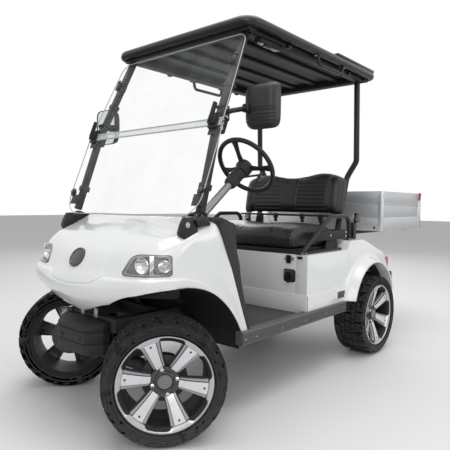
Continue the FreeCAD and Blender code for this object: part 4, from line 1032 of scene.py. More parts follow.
for side in (1, -1):
    cut_with(cowl, lamp_plug("opening", side, 0))
    border = duplicate(shell, "border")
    cut_with(border, lamp_plug("rim", side, 1.5), "INTERSECT")
    cut_with(border, lamp_plug("glass", side, 9))
    paint(border, lens_border)
    lens = duplicate(shell, "lens")
    cut_with(lens, lamp_plug("glass", side, 8.8), "INTERSECT")
    paint(lens, lens_clear)
    bucket = lamp_plug("bucket", side, 4, -5, 62)
    middle = on_side(1.8, side)
    front = (cowl_point(middle, 710, -100) - cowl_point(middle, 710)).normalized()
    only(bucket)
    pick(bucket, lambda centre, normal: normal.dot(front) > 0.6)
    bpy.ops.mesh.select_mode(type="FACE")
    bpy.ops.mesh.delete(type="FACE")
    leave()
    modified(bucket, "SOLIDIFY", thickness=0.0015, offset=0)
    paint(bucket, lamp_grey)
    lamp_pieces += [border, lens, bucket]
    # columns: way round, height, radius, how far back
    for way, height, radius, back in ((2.02, 709, 34, 16), (1.40, 708, 24, 16)):
        bowl = spun("bowl", [(3, -26), (10, -25), (20, -19), (28, -9), (33, 0), (34.5, 0), (33, 1.5)], 40)
        paint(bowl, chrome)
        bulb = spun("bulb", [(0, 2), (4, 1), (6.5, -3), (7, -10), (5, -20), (5, -27)], 20)
        paint(bulb, bulb_glass)
        merged([bowl, bulb])
        size = radius / 34
        bowl.scale = (size * 1.12, size, size)
        settle(bowl)
        near_way = on_side(way, side)
        facing = (cowl_point(near_way, height, -20) - cowl_point(near_way, height)).normalized()
        facing = (facing + Vector((0.9, 0, -0.03))).normalized()
        placed(bowl, cowl_point(near_way, height, back), facing.to_track_quat("Y", "Z").to_euler())
        lamp_pieces.append(bowl)
    divider = primitive(bpy.ops.mesh.primitive_cube_add, "divider", size=1)
    divider.scale = (0.045, 0.006, 0.084)
    settle(divider)
    modified(divider, "BEVEL", width=0.0015, segments=2)
    placed(divider, cowl_point(on_side(1.69, side), 708, 30))
    paint(divider, chrome)
    lamp_pieces.append(divider)
bpy.data.objects.remove(shell)
joined("headlamp_detail", lamp_pieces, replaces="headlamps", smooth=30)

modified(cowl, "BEVEL", width=0.0011, segments=2, limit_method="ANGLE", angle_limit=math.radians(55))
paint(cowl, body_white)
joined("cowl_detail", [cowl], replaces="front_cowl", smooth=34)

badge = spun("badge", [
    (0, 3.2), (30, 3.0), (44, 2.4), (47, 0.8), (50, 3.6), (54, 4.2), (57, 2.6), (58, -3),
], 72)
badge.scale = (0.86, 1.0, 0.80)
settle(badge)
paint(badge, gloss_black)
slope = (cowl_point(4, 735) - cowl_point(4, 705)).normalized()
badge_out = Vector((slope.z, 0, -slope.x))
placed(badge, cowl_point(4, 720) + badge_out * 0.0005, badge_out.to_track_quat("Y", "Z").to_euler())
joined("badge", [badge], smooth=30)


# Bumper, tabs and inner arches: a moulded black bumper bolted to the rail ends, two bent steel tabs under
# the nose, and black arch sheets held inside the cowl with push-in bolts, with a black bulkhead behind them.
# The arch sheets and the bulkhead are a deeper black than the moulded plastic, as painted shade inside the
# cowl.
frame_black = surface("frame_black", (0.012, 0.012, 0.012), (0.030, 0.028, 0.026), 0.48, patch=10,
                      amount=0.7, spread=0.2, dust=0.45, dust_top=0.62, grain=700, relief=0.2, gleam=0.25)
zinc = surface("zinc", (0.42, 0.42, 0.43), (0.6, 0.59, 0.57), 0.34, patch=30, spread=0.2, relief=0.1,
               metallic=0.9)
dressed("front_bumper", moulded, width=0.004, angle=24)
tabs = [bolt((1886.4, y, 375), (1, 0, 0), 7, moulded) for y in (-70, 70)]
for y in (-62, 40):
    tabs += [
        cube("tab", (1790, y, 452), (1794, y + 26, 492), zinc, 0.001),
        cube("tab", (1776, y, 450), (1794, y + 26, 454), zinc, 0.001),
    ]
joined("nose_tabs", tabs)

LINER_EDGE = (
    (1301, 366), (1312, 386), (1329, 414), (1352, 446), (1388, 489), (1425, 525), (1470, 560),
    (1514, 583), (1574, 605), (1639, 618), (1700, 621), (1750, 619), (1788, 612), (1812, 603),
    (1824, 592), (1826, 584),
)
LINER_ROWS = 8


def liner_vertex(side):
    def place(column, row):
        x, z = LINER_EDGE[column]
        share = row / LINER_ROWS
        y = 492 - 300 * share
        out = max(0, (y - 300) / 190)
        x = min(x, 1822 - 118 * out ** 2)
        z -= 3 * (1 - share)
        return spot(x, side * y, z)
    return place


# The darkest black here is partly the liners' own black plastic and partly painted shade: darker and duller
# than the moulded black, so the inside of the cowl and its arches reads as shadow.
liner_black_painted_shade = surface("liner_black_painted_shade", (0.0065, 0.0065, 0.0065), (0.016, 0.015, 0.014), 0.62, patch=8,
                      spread=0.1, dust=0.35, dust_top=0.7, grain=500, relief=0.3, gleam=0.12)
# The bulkhead closes the cowl from behind in the same black, as painted shade for the cowl's dark inside.
bulkhead = [
    cube("bulkhead", (1292, -470, 284), (1297, 470, 640), liner_black_painted_shade, 0.002),
    cube("bulkhead", (1297, -160, 300), (1420, 160, 304), liner_black_painted_shade, 0.001),
]
joined("front_bulkhead", bulkhead)
liners = []
for side in (1, -1):
    liner = grid("liner", len(LINER_EDGE) - 1, LINER_ROWS, liner_vertex(side))
    faced(liner)
    modified(liner, "SUBSURF", levels=2)
    modified(liner, "SOLIDIFY", thickness=0.0025, offset=0)
    paint(liner, liner_black_painted_shade)
    liners.append(liner)
    for index in (3, 6, 9, 12):
        x, z = LINER_EDGE[index]
        ahead = Vector(LINER_EDGE[index + 1]) - Vector(LINER_EDGE[index - 1])
        facing = (ahead.y, 0, -ahead.x)
        for y in (470, 380):
            liners.append(bolt((min(x, 1770), side * y, z - 5), facing, 6, moulded, 12))
joined("front_arch_liners", liners)

# Front axle: black painted beam, cast knuckles with drum brakes that turn with the wheels, a tie rod
# with ball joints, and a coil spring over each damper.
cast = surface("cast_iron", (0.028, 0.027, 0.026), (0.075, 0.068, 0.06), 0.55, patch=18, amount=0.8,
               spread=0.2, dust=0.5, dust_top=0.5, grain=420, relief=0.5)
dressed("front_beam", frame_black, 0.002)
for node in ("knuckle_left", "knuckle_right"):
    dressed(node, cast, 0.002, body=node)
dressed("tie_rod", frame_black, 0.002, body="tie_rod")
dressed("front_shocks", zinc, 0.001)
springs = []
for side in (1, -1):
    foot = Vector((1670, 268 * side, 270))
    head = Vector((1670, 217 * side, 428))
    low = foot.lerp(head, 0.42)
    bpy.ops.object.select_all(action="DESELECT")
    bpy.ops.mesh.primitive_circle_add(vertices=10, radius=0.0048, location=(0.0275, 0, 0),
                                      rotation=(math.pi / 2, 0, 0))
    coil = bpy.context.object
    settle(coil)
    length = (head - low).length / 1000
    modified(coil, "SCREW", angle=math.tau * 5.5, screw_offset=length, steps=160, render_steps=160,
             axis="Z")
    placed(coil, spot(*low), (head - low).to_track_quat("Z", "Y").to_euler())
    paint(coil, frame_black)
    springs.append(coil)
joined("coil_springs", springs)

# Rear axle and frame: gear case, motor with cooling fins, leaf springs bound with clips, and a welded
# frame of black box tube that carries the battery under the seat.
dressed("rear_axle", cast, 0.002)
fins = []
for index in range(9):
    ring = spun("fin", [(83, -2), (88, -1.6), (88, 1.6), (83, 2)], 48)
    placed(ring, spot(155, -262 + index * 26, 262))
    paint(ring, cast)
    fins.append(ring)
joined("motor_fins", fins)
for node, width in (
    ("leaf_springs", 0.001), ("spring_hangers", 0.001), ("frame_rails", 0.003), ("cross_members", 0.003),
):
    dressed(node, frame_black, width)
dressed("battery_pack", moulded, 0.006)


# Cabin: a grained dark dash and trims screwed to the cowl, a rubber mat with ribs on the floor, hanging
# pedals with ribbed pads, and a bare steel column that carries a moulded steering wheel.
dash_grey = surface("dash_grey", (0.022, 0.0225, 0.024), (0.045, 0.045, 0.046), 0.52, patch=6, amount=0.6,
                    spread=0.15, dust=0.25, dust_top=0.6, grain=800, relief=0.3, gleam=0.25)
floor_grey = surface("floor_grey", (0.040, 0.041, 0.043), (0.075, 0.073, 0.070), 0.58, patch=5, amount=0.7,
                     spread=0.2, dust=0.6, dust_top=0.7, grain=500, relief=0.35, gleam=0.3)
sill_grey = surface("sill_grey", (0.075, 0.079, 0.080), (0.115, 0.116, 0.113), 0.50, patch=8, amount=0.7,
                    spread=0.15, dust=0.5, dust_top=0.6, grain=600, relief=0.2)
steel_tube = surface("column_steel", (0.17, 0.168, 0.165), (0.30, 0.29, 0.28), 0.26, patch=20, amount=0.7,
                     spread=0.2, relief=0.08, metallic=0.9, stretch=(1, 1, 0.15))
dressed("dashboard", dash_grey, 0.005)
dressed("cowl_trims", dash_grey, 0.004)
dressed("floor_pan", floor_grey, 0.002)
dressed("sills", sill_grey, 0.0012)
screws = []
for side in (1, -1):
    for x, z in ((1300, 480), (1345, 600), (1372, 700), (1400, 800), (1425, 866)):
        screws.append(bolt((x, side * 496.3, z), (0, side, 0), 4.5, gloss_black, 12))
    for x in (340, 560, 780, 1000, 1220, 1300):
        screws.append(bolt((x, side * 517.2, 338.5), (0, side, 0), 3.6, zinc, 12))
joined("trim_screws", screws)
ribs = []
for side in (1, -1):
    for z in (322, 333, 344, 355, 366):
        bead = tube("rib", [(312, side * 516.5, z, 0), (1314, side * 516.5, z, 0)], 2.6, sill_grey, 8)
        ribs.append(bead)
joined("sill_ribs", ribs, smooth=60)

mat = [cube("mat", (766, -452, 360), (1240, 452, 364), floor_grey, 0.0015)]
for index in range(37):
    y = -432 + index * 24
    mat.append(cube("rib", (786, y - 4, 363.5), (1222, y + 4, 366), floor_grey, 0.0008))
joined("floor_mat", mat)

dressed("pedals", frame_black, 0.0015)
# the brake and the accelerator, whose faces lean forward from (1174, 420) up to (1218, 504)
pads = []
for y, width in ((150, 62), (268, 90)):
    for step in range(5):
        share = (step + 0.5) / 5
        x, z = 1174 + 44 * share, 420 + 84 * share
        rib = cube("rib", (-4, -width / 2 + 5, -3.2), (3, width / 2 - 5, 3.2), rubber, 0.0008)
        placed(rib, spot(x, y, z) - spot(0, 0, 0))
        pads.append(rib)
joined("pedal_pads", pads)

COLUMN_TILT = math.radians(38)
WHEEL_CENTRE = Vector((1008, 268, 1164))
COLUMN_AXIS = Vector((math.cos(COLUMN_TILT), 0, -math.sin(COLUMN_TILT)))


def on_column(outline, steps, distance, name):
    """A turned piece on the steering axis; its outline is (radius, distance towards the driver)."""
    piece = spun(name, outline, steps)
    placed(piece, spot(*(WHEEL_CENTRE + COLUMN_AXIS * distance)),
           (-COLUMN_AXIS).to_track_quat("Y", "Z").to_euler())
    return piece


column = [on_column([(19.5, 0), (19.5, -1), (19.5, -402), (19.51, -403)], 32, 62, "tube")]
paint(column[0], steel_tube)
shroud = on_column([
    (13, 4), (24, 2), (33, -6), (35, -14), (34.6, -50), (36, -52), (36, -58), (34.6, -60), (33, -96),
    (28, -108), (23, -112), (19, -112),
], 40, 62, "shroud")
paint(shroud, dash_grey)
column.append(shroud)
boot = on_column([
    (25, 30), (27, 20), (34, 12), (31, 4), (42, -4), (38, -12), (50, -22), (52, -40),
], 32, 440, "boot")
paint(boot, rubber)
column.append(boot)
stalk_foot = WHEEL_CENTRE + COLUMN_AXIS * 110
stalk = [(*(stalk_foot + Vector(reach)), bend) for reach, bend in (
    ((0, 30, 0), 0), ((0, 92, 6), 30), ((-14, 150, 12), 0),
)]
column.append(tube("stalk", stalk, 5.5, dash_grey))
knob = on_column([(0, 20), (6, 19), (9, 14), (9.5, -12), (7, -20), (0, -21)], 20, 110, "knob")
placed(knob, Vector((-0.014, 0.152, 0.012)))
paint(knob, dash_grey)
column.append(knob)
joined("steering_column_detail", column, replaces="steering_column")

grip = surface("steering_grip", (0.014, 0.014, 0.014), (0.03, 0.029, 0.028), 0.36, patch=12, spread=0.2,
               grain=1100, relief=0.3, gleam=0.35)
RING_R = 0.161
ring = primitive(bpy.ops.mesh.primitive_torus_add, "ring", major_radius=RING_R, minor_radius=0.0128,
                 major_segments=144, minor_segments=20)
for vertex in ring.data.vertices:
    turn = math.atan2(vertex.co.y, vertex.co.x)
    middle = Vector((math.cos(turn), math.sin(turn), 0)) * RING_R
    out = vertex.co - middle
    ridge = 0.5 + 0.5 * math.cos(turn * 48)
    inside = ramp(0.0, 0.011, -out.dot(middle.normalized()))
    vertex.co = middle + out * (1 - 0.10 * ridge * inside)
paint(ring, grip)
wheel_pieces = [ring]
hub_pad = spun("hub_pad", [
    (0, 7), (30, 6), (42, 2), (46, -6), (46, -26), (36, -40), (26, -54), (13, -55),
], 48)
hub_pad.rotation_euler = (math.pi / 2, 0, 0)
settle(hub_pad)
paint(hub_pad, grip)
wheel_pieces.append(hub_pad)


def spoke_arm(turn):
    def place(column, row):
        along = 38 + 118 * column / 10
        width = 17 - 5 * math.sin(math.pi * column / 10) + 4 * (column / 10) ** 3
        angle = math.tau * row / 16
        across = width * math.copysign(abs(math.cos(angle)) ** 0.6, math.cos(angle))
        thick = 6 * math.copysign(abs(math.sin(angle)) ** 0.6, math.sin(angle))
        deep = thick - 14 + 12 * ramp(60, 156, along)
        x = along * math.cos(turn) - across * math.sin(turn)
        y = along * math.sin(turn) + across * math.cos(turn)
        return Vector((x, y, deep)) / 1000
    return place


for turn in (math.radians(270), math.radians(8), math.radians(172)):
    arm = grid("arm", 10, 16, spoke_arm(turn + math.radians(90)))
    faced(arm, CLOSE)
    paint(arm, grip)
    wheel_pieces.append(arm)
steering = merged(wheel_pieces)
placed(steering, spot(*WHEEL_CENTRE), (0, COLUMN_TILT - math.pi / 2, 0))
joined("steering_wheel_detail", [steering], body="steering_wheel", replaces="steering_wheel",
       smooth=40)


# Rear body: white moulded quarters with rolled wheel flares, the seat box with its belt crease, the
# charge socket, the lid's catch and a blank plate, and a black moulded rear bumper.
for node in ("rear_deck", "seat_box_front"):
    dressed(node, body_white, 0.002)
for side, name in ((1, "left"), (-1, "right")):
    dressed("rear_quarter_" + name, body_white, 0.04, angle=12, smooth=60)
    flare = spun("flare", [
        (352, 499.5), (340, 503), (330, 511), (321, 524), (313, 540), (306, 552), (300, 561),
        (294, 565.5), (289.5, 564), (288.2, 559), (288.4, 540), (288.6, 500),
    ], 96)
    placed(flare, spot(-5, 0, 300))
    if side < 0:
        flare.scale = (1, -1, 1)
        settle(flare)
    edit(flare)
    bpy.ops.mesh.select_all(action="SELECT")
    bpy.ops.mesh.bisect(plane_co=(0, 0, 0.3755), plane_no=(0, 0, 1), clear_inner=True)
    bpy.ops.mesh.select_all(action="SELECT")
    bpy.ops.mesh.normals_make_consistent(inside=False)
    leave()
    face_out(flare, Vector((0, side, 0)))
    modified(flare, "SOLIDIFY", thickness=0.003, offset=-1)
    paint(flare, body_white)
    joined("flare_" + name, [flare], smooth=50)

crease = []
for side in (1, -1):
    low, high = sorted((side * 497, side * 504.5))
    crease.append(cube("skirt", (292, low, 372), (750, high, 463), body_white, 0.0025))
crease.append(cube("skirt", (740, -504.5, 361), (750.6, 504.5, 464), body_white, 0.0025))
joined("seat_box_skirt", crease)

port = [
    cube("port", (725, 346, 526), (757, 425, 602), moulded, 0.014),
    cube("door", (735, 354, 533), (766, 414, 596), gloss_black, 0.013),
    cube("tab", (756, 378, 526), (768, 394, 540), moulded, 0.003),
    cube("catch", (745.5, 352, 650), (752, 414, 672), zinc, 0.002),
    cube("strap", (751, 366, 634), (757, 398, 680), gloss_black, 0.003),
    cube("keeper", (745.5, 436, 662), (754, 470, 676), gloss_black, 0.003),
    bolt((746, 443, 566), (1, 0, 0), 3.5, zinc, 12),
]
for y in (356, 400):
    port.append(bolt((751, y, 657), (1, 0, 0), 3.0, zinc, 12))
joined("seat_box_fittings", port)
plate_steel = surface("plate_steel", (0.20, 0.19, 0.18), (0.32, 0.31, 0.29), 0.35, patch=40, relief=0.1,
                      metallic=0.8)
plate = [cube("plate", (306, 502.0, 398), (402, 504.5, 442), plate_steel, 0.0008)]
for x, z in ((312, 404), (396, 404), (312, 436), (396, 436)):
    plate.append(bolt((x, 504.4, z), (0, 1, 0), 2.2, zinc, 12))
joined("blank_plate", plate)
dressed("rear_bumper", moulded, 0.006)
ends = []
for side in (1, -1):
    low, high = sorted((side * 446, side * 499))
    ends.append(cube("bumper_end", (-436, low, 392), (-366, high, 488), moulded, 0.009))
    for z in (418, 440, 462):
        low, high = sorted((side * 452, side * 500.5))
        ends.append(cube("bumper_rib", (-438, low, z - 4), (-372, high, z + 4), moulded, 0.003))
joined("rear_bumper_ends", ends)
tail_red = surface("tail_red", (0.32, 0.008, 0.008), (0.42, 0.02, 0.015), 0.12, patch=30, relief=0.05,
                   coat=0.6, grain=260, softness=0.0)
dressed("tail_lamps", tail_red, 0.003)
dressed("wheel_liners", moulded, 0.0)

# Seat: a dark moulded tray, a lid board on two steel hinges, and thick foam pads covered in black vinyl
# with sewn channels, side bolsters and pale stitching; belts lie at the back of the bench.
seat_plastic = surface("seat_tray", (0.020, 0.020, 0.021), (0.038, 0.037, 0.036), 0.45, patch=7,
                       spread=0.15, grain=800, relief=0.25, gleam=0.2)
dressed("seat_deck", seat_plastic, 0.002)
dressed("seat_base", seat_plastic, 0.002, body="seat_lid")
vinyl = surface("seat_vinyl", (0.0125, 0.0125, 0.013), (0.026, 0.025, 0.025), 0.30, patch=5, amount=0.5,
                spread=0.16, grain=950, softness=0.35, relief=0.32, gleam=0.4)
stitch = surface("pale_stitch", (0.22, 0.22, 0.22), (0.34, 0.33, 0.32), 0.6, patch=60, grain=2500,
                 relief=0.4)
PAD_POINTS = 44
PAD_COLUMNS = 56
PAD_HALF = 408
PAD_VOXEL = 0.0075
CLOTH_FRAMES = 20


def cushion_section(y, angle):
    """The bench pad: long and crowned, its front rolled over, its ends pulled in."""
    a, b = rounded_power(angle, 3.4 if math.sin(angle) > 0 else 9)
    end = math.sqrt(max(0, 1 - (max(0, abs(y) - 356) / 52) ** 2 * 0.5))
    x = 503 + 251 * a * (0.90 + 0.10 * end)
    crown = 8 * math.sin(math.pi * min(1, max(0, (x - 260) / 480)))
    saddle = 5 * math.cos(y / 405 * math.tau)
    z = 768 + (b * 58 * end + crown - saddle if b > 0 else b * 53)
    if a > 0:
        z -= 6 * a ** 4 if b > 0 else 9 * a ** 8
    return x, z


def back_section(y, angle):
    """The backrest: two humps with a dip between them, leaning back, its ends pulled in."""
    a, b = rounded_power(angle, 3.2)
    near = abs(y)
    end = math.sqrt(max(0.12, 1 - (max(0, near - 336) / 74) ** 2))
    top = 1157 + 28 * math.exp(-((near - 225) / 120) ** 2) - 34 * (1 - end) - 10 * ramp(300, 400, near)
    bottom = 899 + 16 * (1 - end)
    middle = (top + bottom) / 2
    z = middle + b * (top - bottom) / 2
    lean = (z - 897) / 293
    thick = 44 * end * (1.0 - 0.12 * lean)
    bolster = 8 * ramp(290, 350, near) * (1 - ramp(385, 416, near))
    x = 160 - 55 * lean + a * thick + (bolster if a > 0.3 else 0)
    return x, z


def pad_form(name, section):
    """A closed pad along the bench, a ring of points from section(y, angle) at each y."""
    def place(column, row):
        share = 2 * column / PAD_COLUMNS - 1
        y = PAD_HALF * math.sin(share * math.pi / 2) if abs(share) > 0.9 else PAD_HALF * share * 0.9877 / 0.9
        x, z = section(y, math.tau * row / PAD_POINTS)
        if column in (0, PAD_COLUMNS):
            centre_x = (section(y, 0.0)[0] + section(y, math.pi)[0]) / 2
            centre_z = (section(y, math.pi / 2)[1] + section(y, 1.5 * math.pi)[1]) / 2
            x = centre_x + (x - centre_x) * 0.86
            z = centre_z + (z - centre_z) * 0.80
        return spot(x, y, z)
    piece = grid(name, PAD_COLUMNS, PAD_POINTS, place)
    faced(piece, CLOSE, cap=True)
    return piece


def swell(piece, voxel, cap):
    """Blow the foam pad up a little as cloth under pressure, so that its cover sits full."""
    modified(piece, "REMESH", mode="VOXEL", voxel_size=voxel)
    modified(piece, "SMOOTH", factor=0.5, iterations=6)
    start = [vertex.co.copy() for vertex in piece.data.vertices]
    only(piece)
    cloth = piece.modifiers.new("cloth", "CLOTH")
    cloth.settings.use_pressure = True
    cloth.settings.uniform_pressure_force = 4
    cloth.settings.effector_weights.gravity = 0
    cloth.settings.quality = 4
    cloth.point_cache.frame_end = CLOTH_FRAMES
    for step in range(1, CLOTH_FRAMES + 1):
        bpy.context.scene.frame_set(step)
    bpy.ops.object.modifier_apply(modifier="cloth")
    for vertex, home in zip(piece.data.vertices, start):
        move = vertex.co - home
        if move.length > cap:
            vertex.co = home + move * (cap / move.length)
    bpy.context.scene.frame_set(1)
    modified(piece, "SUBSURF", levels=1, render_levels=1)


def sew(piece, grooves):
    """Press sewn channels into a pad: each groove gives a depth at a point, in millimetres."""
    normals = [vertex.normal.copy() for vertex in piece.data.vertices]
    for vertex, normal in zip(piece.data.vertices, normals):
        x = vertex.co.x * 1000 + REAR_AXLE_OFFSET
        y = vertex.co.y * 1000
        z = vertex.co.z * 1000
        depth = max(groove(x, y, z, normal) for groove in grooves)
        if depth > 0:
            vertex.co -= normal * depth / 1000


def back_channels(x, y, z, normal):
    """Seven channels across each half of the backrest's front."""
    near = abs(y)
    if normal.x < 0.3 or not 62 < near < 292 or not 925 < z < 1150:
        return 0
    fade = min(1, (near - 62) / 18, (292 - near) / 18)
    return max(3.6 * dip(z - 940 - 29 * index, 9) for index in range(8)) * fade


def back_seams(x, y, z, normal):
    near = abs(y)
    front = 1 if normal.x > -0.35 else 0
    return front * max(4.0 * dip(near - 300, 7), 3.0 * dip(near - 55, 7),
                       2.5 * dip(z - 916, 7) if near < 300 else 0)


def end_seams(x, y, z, normal):
    """The panel seam that runs round each end of a pad."""
    return 3.0 * dip(abs(y) - 388, 7)


def seat_seams(x, y, z, normal):
    if normal.z < -0.3:
        return 0
    long_way = 2.6 * dip(abs(y) - 300, 7) if 270 < x < 742 and z > 790 else 0
    across = 2.6 * dip(x - 330, 7) if abs(y) < 300 and z > 800 else 0
    front = 2.2 * dip(z - 792, 6) if x > 700 else 0
    return max(long_way, across, front)


def stitches(path):
    """A row of pale stitches that follows a path of points on a pad."""
    pieces = []
    for here, there in zip(path[::2], path[1::2]):
        thread = primitive(bpy.ops.mesh.primitive_uv_sphere_add, "stitch", segments=6, ring_count=4,
                           radius=0.001)
        along = there - here
        thread.scale = (1, 1, along.length * 450)
        placed(thread, (here + there) / 2, along.to_track_quat("Z", "Y").to_euler())
        pieces.append(thread)
    row = merged(pieces)
    paint(row, stitch)
    return row


cushion = pad_form("cushion", cushion_section)
swell(cushion, PAD_VOXEL, 0.012)
sew(cushion, [seat_seams, end_seams])
paint(cushion, vinyl)
joined("seat_cushion_pad", [cushion], body="seat_lid", replaces="seat_cushion", smooth=60)
back = pad_form("back", back_section)
swell(back, PAD_VOXEL, 0.010)
sew(back, [back_channels, back_seams, end_seams])
paint(back, vinyl)
joined("backrest_pad", [back], replaces="backrest", smooth=60)
RAY_START = Vector((0.3, 0, 0))


def seam_path(pad, points):
    """Points on a pad's surface, found by casting rays onto it from the front."""
    found = []
    for point in points:
        hit, place, normal, index = pad.ray_cast(spot(*point) + RAY_START, Vector((-1, 0, 0)))
        if hit:
            found.append(place + normal * 0.0004)
    return found


threads = []
for y in (-309, -291, -62, 62, 291, 309):
    route = [(200, y, 925 + step * 2.6) for step in range(90)]
    path = seam_path(back, route)
    if len(path) > 4:
        threads.append(stitches(path[:len(path) // 2 * 2]))
joined("backrest_stitching", threads)


# Backrest frame, hip restraints, windshield posts and roof posts: steel tube, powder coated black and
# bolted down through welded feet, with the belt buckles on the frame's lower bar.
powder = surface("powder_black", (0.0105, 0.0105, 0.011), (0.026, 0.025, 0.024), 0.30, patch=9, amount=0.5,
                 spread=0.14, grain=650, relief=0.22, gleam=0.3)
dressed("backrest_frame", powder, 0.003)
dressed("rear_struts", powder, 0.0, smooth=50)
dressed("front_struts", powder, 0.004, angle=40, smooth=50)
dressed("hip_restraints", powder, 0.0, smooth=50)


def sheet_metal(name, outline, inner, outer, material, width):
    """A flat plate: an outline of (x, z) drawn at one y, filled and pushed out to another."""
    piece = drawn(name, [spot(x, inner, z) for x, z in outline])
    bpy.ops.mesh.edge_face_add()
    bpy.ops.mesh.select_all(action="SELECT")
    bpy.ops.mesh.extrude_region_move(TRANSFORM_OT_translate={"value": (0, (outer - inner) / 1000, 0)})
    bpy.ops.mesh.select_all(action="SELECT")
    bpy.ops.mesh.normals_make_consistent(inside=False)
    leave()
    modified(piece, "BEVEL", width=width, segments=2)
    paint(piece, material)
    return piece


GUARD_OUTLINE = ((180, 750), (628, 750), (592, 790), (470, 806), (180, 806))
guards = []
for side in (1, -1):
    guards.append(sheet_metal("guard", GUARD_OUTLINE, side * 440, side * 450, moulded, 0.003))
    for x, z in ((205, 766), (205, 792), (590, 766), (400, 778)):
        guards.append(bolt((x, side * 450, z), (0, side, 0), 5, zinc))
    for x, y, z in ((722, 445, 686), (164, 445, 741)):
        foot = cube("foot", (x - 26, side * y - 22, z - 1), (x + 26, side * y + 22, z + 4), powder, 0.0015)
        guards.append(foot)
    for dx in (-18, 18):
        guards += [
            bolt((164 + dx, side * 462, 745), (0, 0, 1), 5, zinc),
            bolt((722 + dx, side * 462, 690), (0, 0, 1), 5, zinc),
        ]
    guards.append(cube("foot", (100, side * 334 - 30, 740), (146, side * 334 + 30, 745), powder, 0.0015))
joined("hip_guards", guards)
belts = []
for y in (-250, -110, 110, 250):
    belts += [
        cube("stem", (176, y - 11, 842), (186, y + 11, 888), rubber, 0.002),
        cube("buckle", (170, y - 17, 866), (192, y + 17, 900), gloss_black, 0.005),
        cube("button", (174, y - 10, 899), (188, y + 10, 902), tail_red, 0.001),
    ]
for side in (1, -1):
    reel = spun("reel", [(0, 30), (19, 30), (22, 27), (22, -27), (19, -30), (0, -30)], 32)
    placed(reel, spot(62, side * 452, 880), (math.radians(68), 0, math.radians(90)))
    paint(reel, gloss_black)
    belts += [
        reel,
        cube("reel_plate", (52, side * 438 - 4, 838), (96, side * 438 + 4, 900), zinc, 0.0015),
        cube("reel_foot", (60, side * 438 - 12, 741), (100, side * 438 + 12, 850), powder, 0.002),
    ]
joined("belt_buckles", belts)

# Windshield: two clear acrylic panes that meet at a clear folding strip, clamped to the posts by black
# brackets, with round knobs through the glass. Pale opaque tubes along the panes' edges are painted
# highlight, the bright edge lines of the glass; the strip's two beads carry the same pale colour, partly the
# strip's own pale plastic and partly painted highlight.
clear = glassy("windshield_clear", (0.50, 0.54, 0.56), 0.02, 0.04)
# Pale grey colour for the tubes on the glass edges: painted highlight, not a finish of the acrylic.
edge_highlight_paint = surface("painted_edge_highlight", (0.42, 0.46, 0.47), (0.60, 0.63, 0.63), 0.12, patch=20, spread=0.1,
                    relief=0.05)
strip_clear = glassy("strip_clear", (0.80, 0.83, 0.84), 0.42, 0.08)
dressed("windshield", clear, 0.0, smooth=50)
# Tubes along the edges of both panes, painted pale as highlight lines.
rims = []
for sign in (1, -1):
    rims += [
        tube("rim", [(1453, sign * 496, 1314, 0), (1614, sign * 496, 904, 108), (1614, 0, 904, 0)], 2.3,
             edge_highlight_paint, 8),
        tube("rim", [(1453, sign * 492, 1320, 0), (1244, sign * 456, 1760, 58), (1244, 0, 1760, 0)], 2.3,
             edge_highlight_paint, 8),
    ]
joined("painted_edge_highlights", rims, smooth=60)
strip = [
    # The fold strip's beads, in the same pale colour: partly the strip's pale plastic and partly painted
    # highlight.
    tube("fold", [(1463, -493, 1304, 0), (1463, 493, 1304, 0)], 4.2, edge_highlight_paint, 12),
    tube("fold", [(1452, -493, 1333, 0), (1452, 493, 1333, 0)], 4.2, edge_highlight_paint, 12),
]
band = grid("band", 1, 4, lambda column, row: spot(
    (1465, 1461, 1450, 1454)[row % 4], -492 + 984 * column, (1304, 1303, 1332, 1334)[row % 4]))
faced(band, 0.00001)
paint(band, strip_clear)
strip.append(band)
joined("fold_strip", strip, smooth=60)
dressed("windshield_clamps", powder, 0.003)


def leaning(pieces, pivot, angle):
    """Turn pieces about a crosswise line through a point, as they lean with the glass."""
    piece = merged(pieces)
    middle = spot(*pivot)
    turn = Matrix.Translation(middle) @ Matrix.Rotation(angle, 4, "Y") @ Matrix.Translation(-middle)
    piece.data.transform(turn)
    return piece


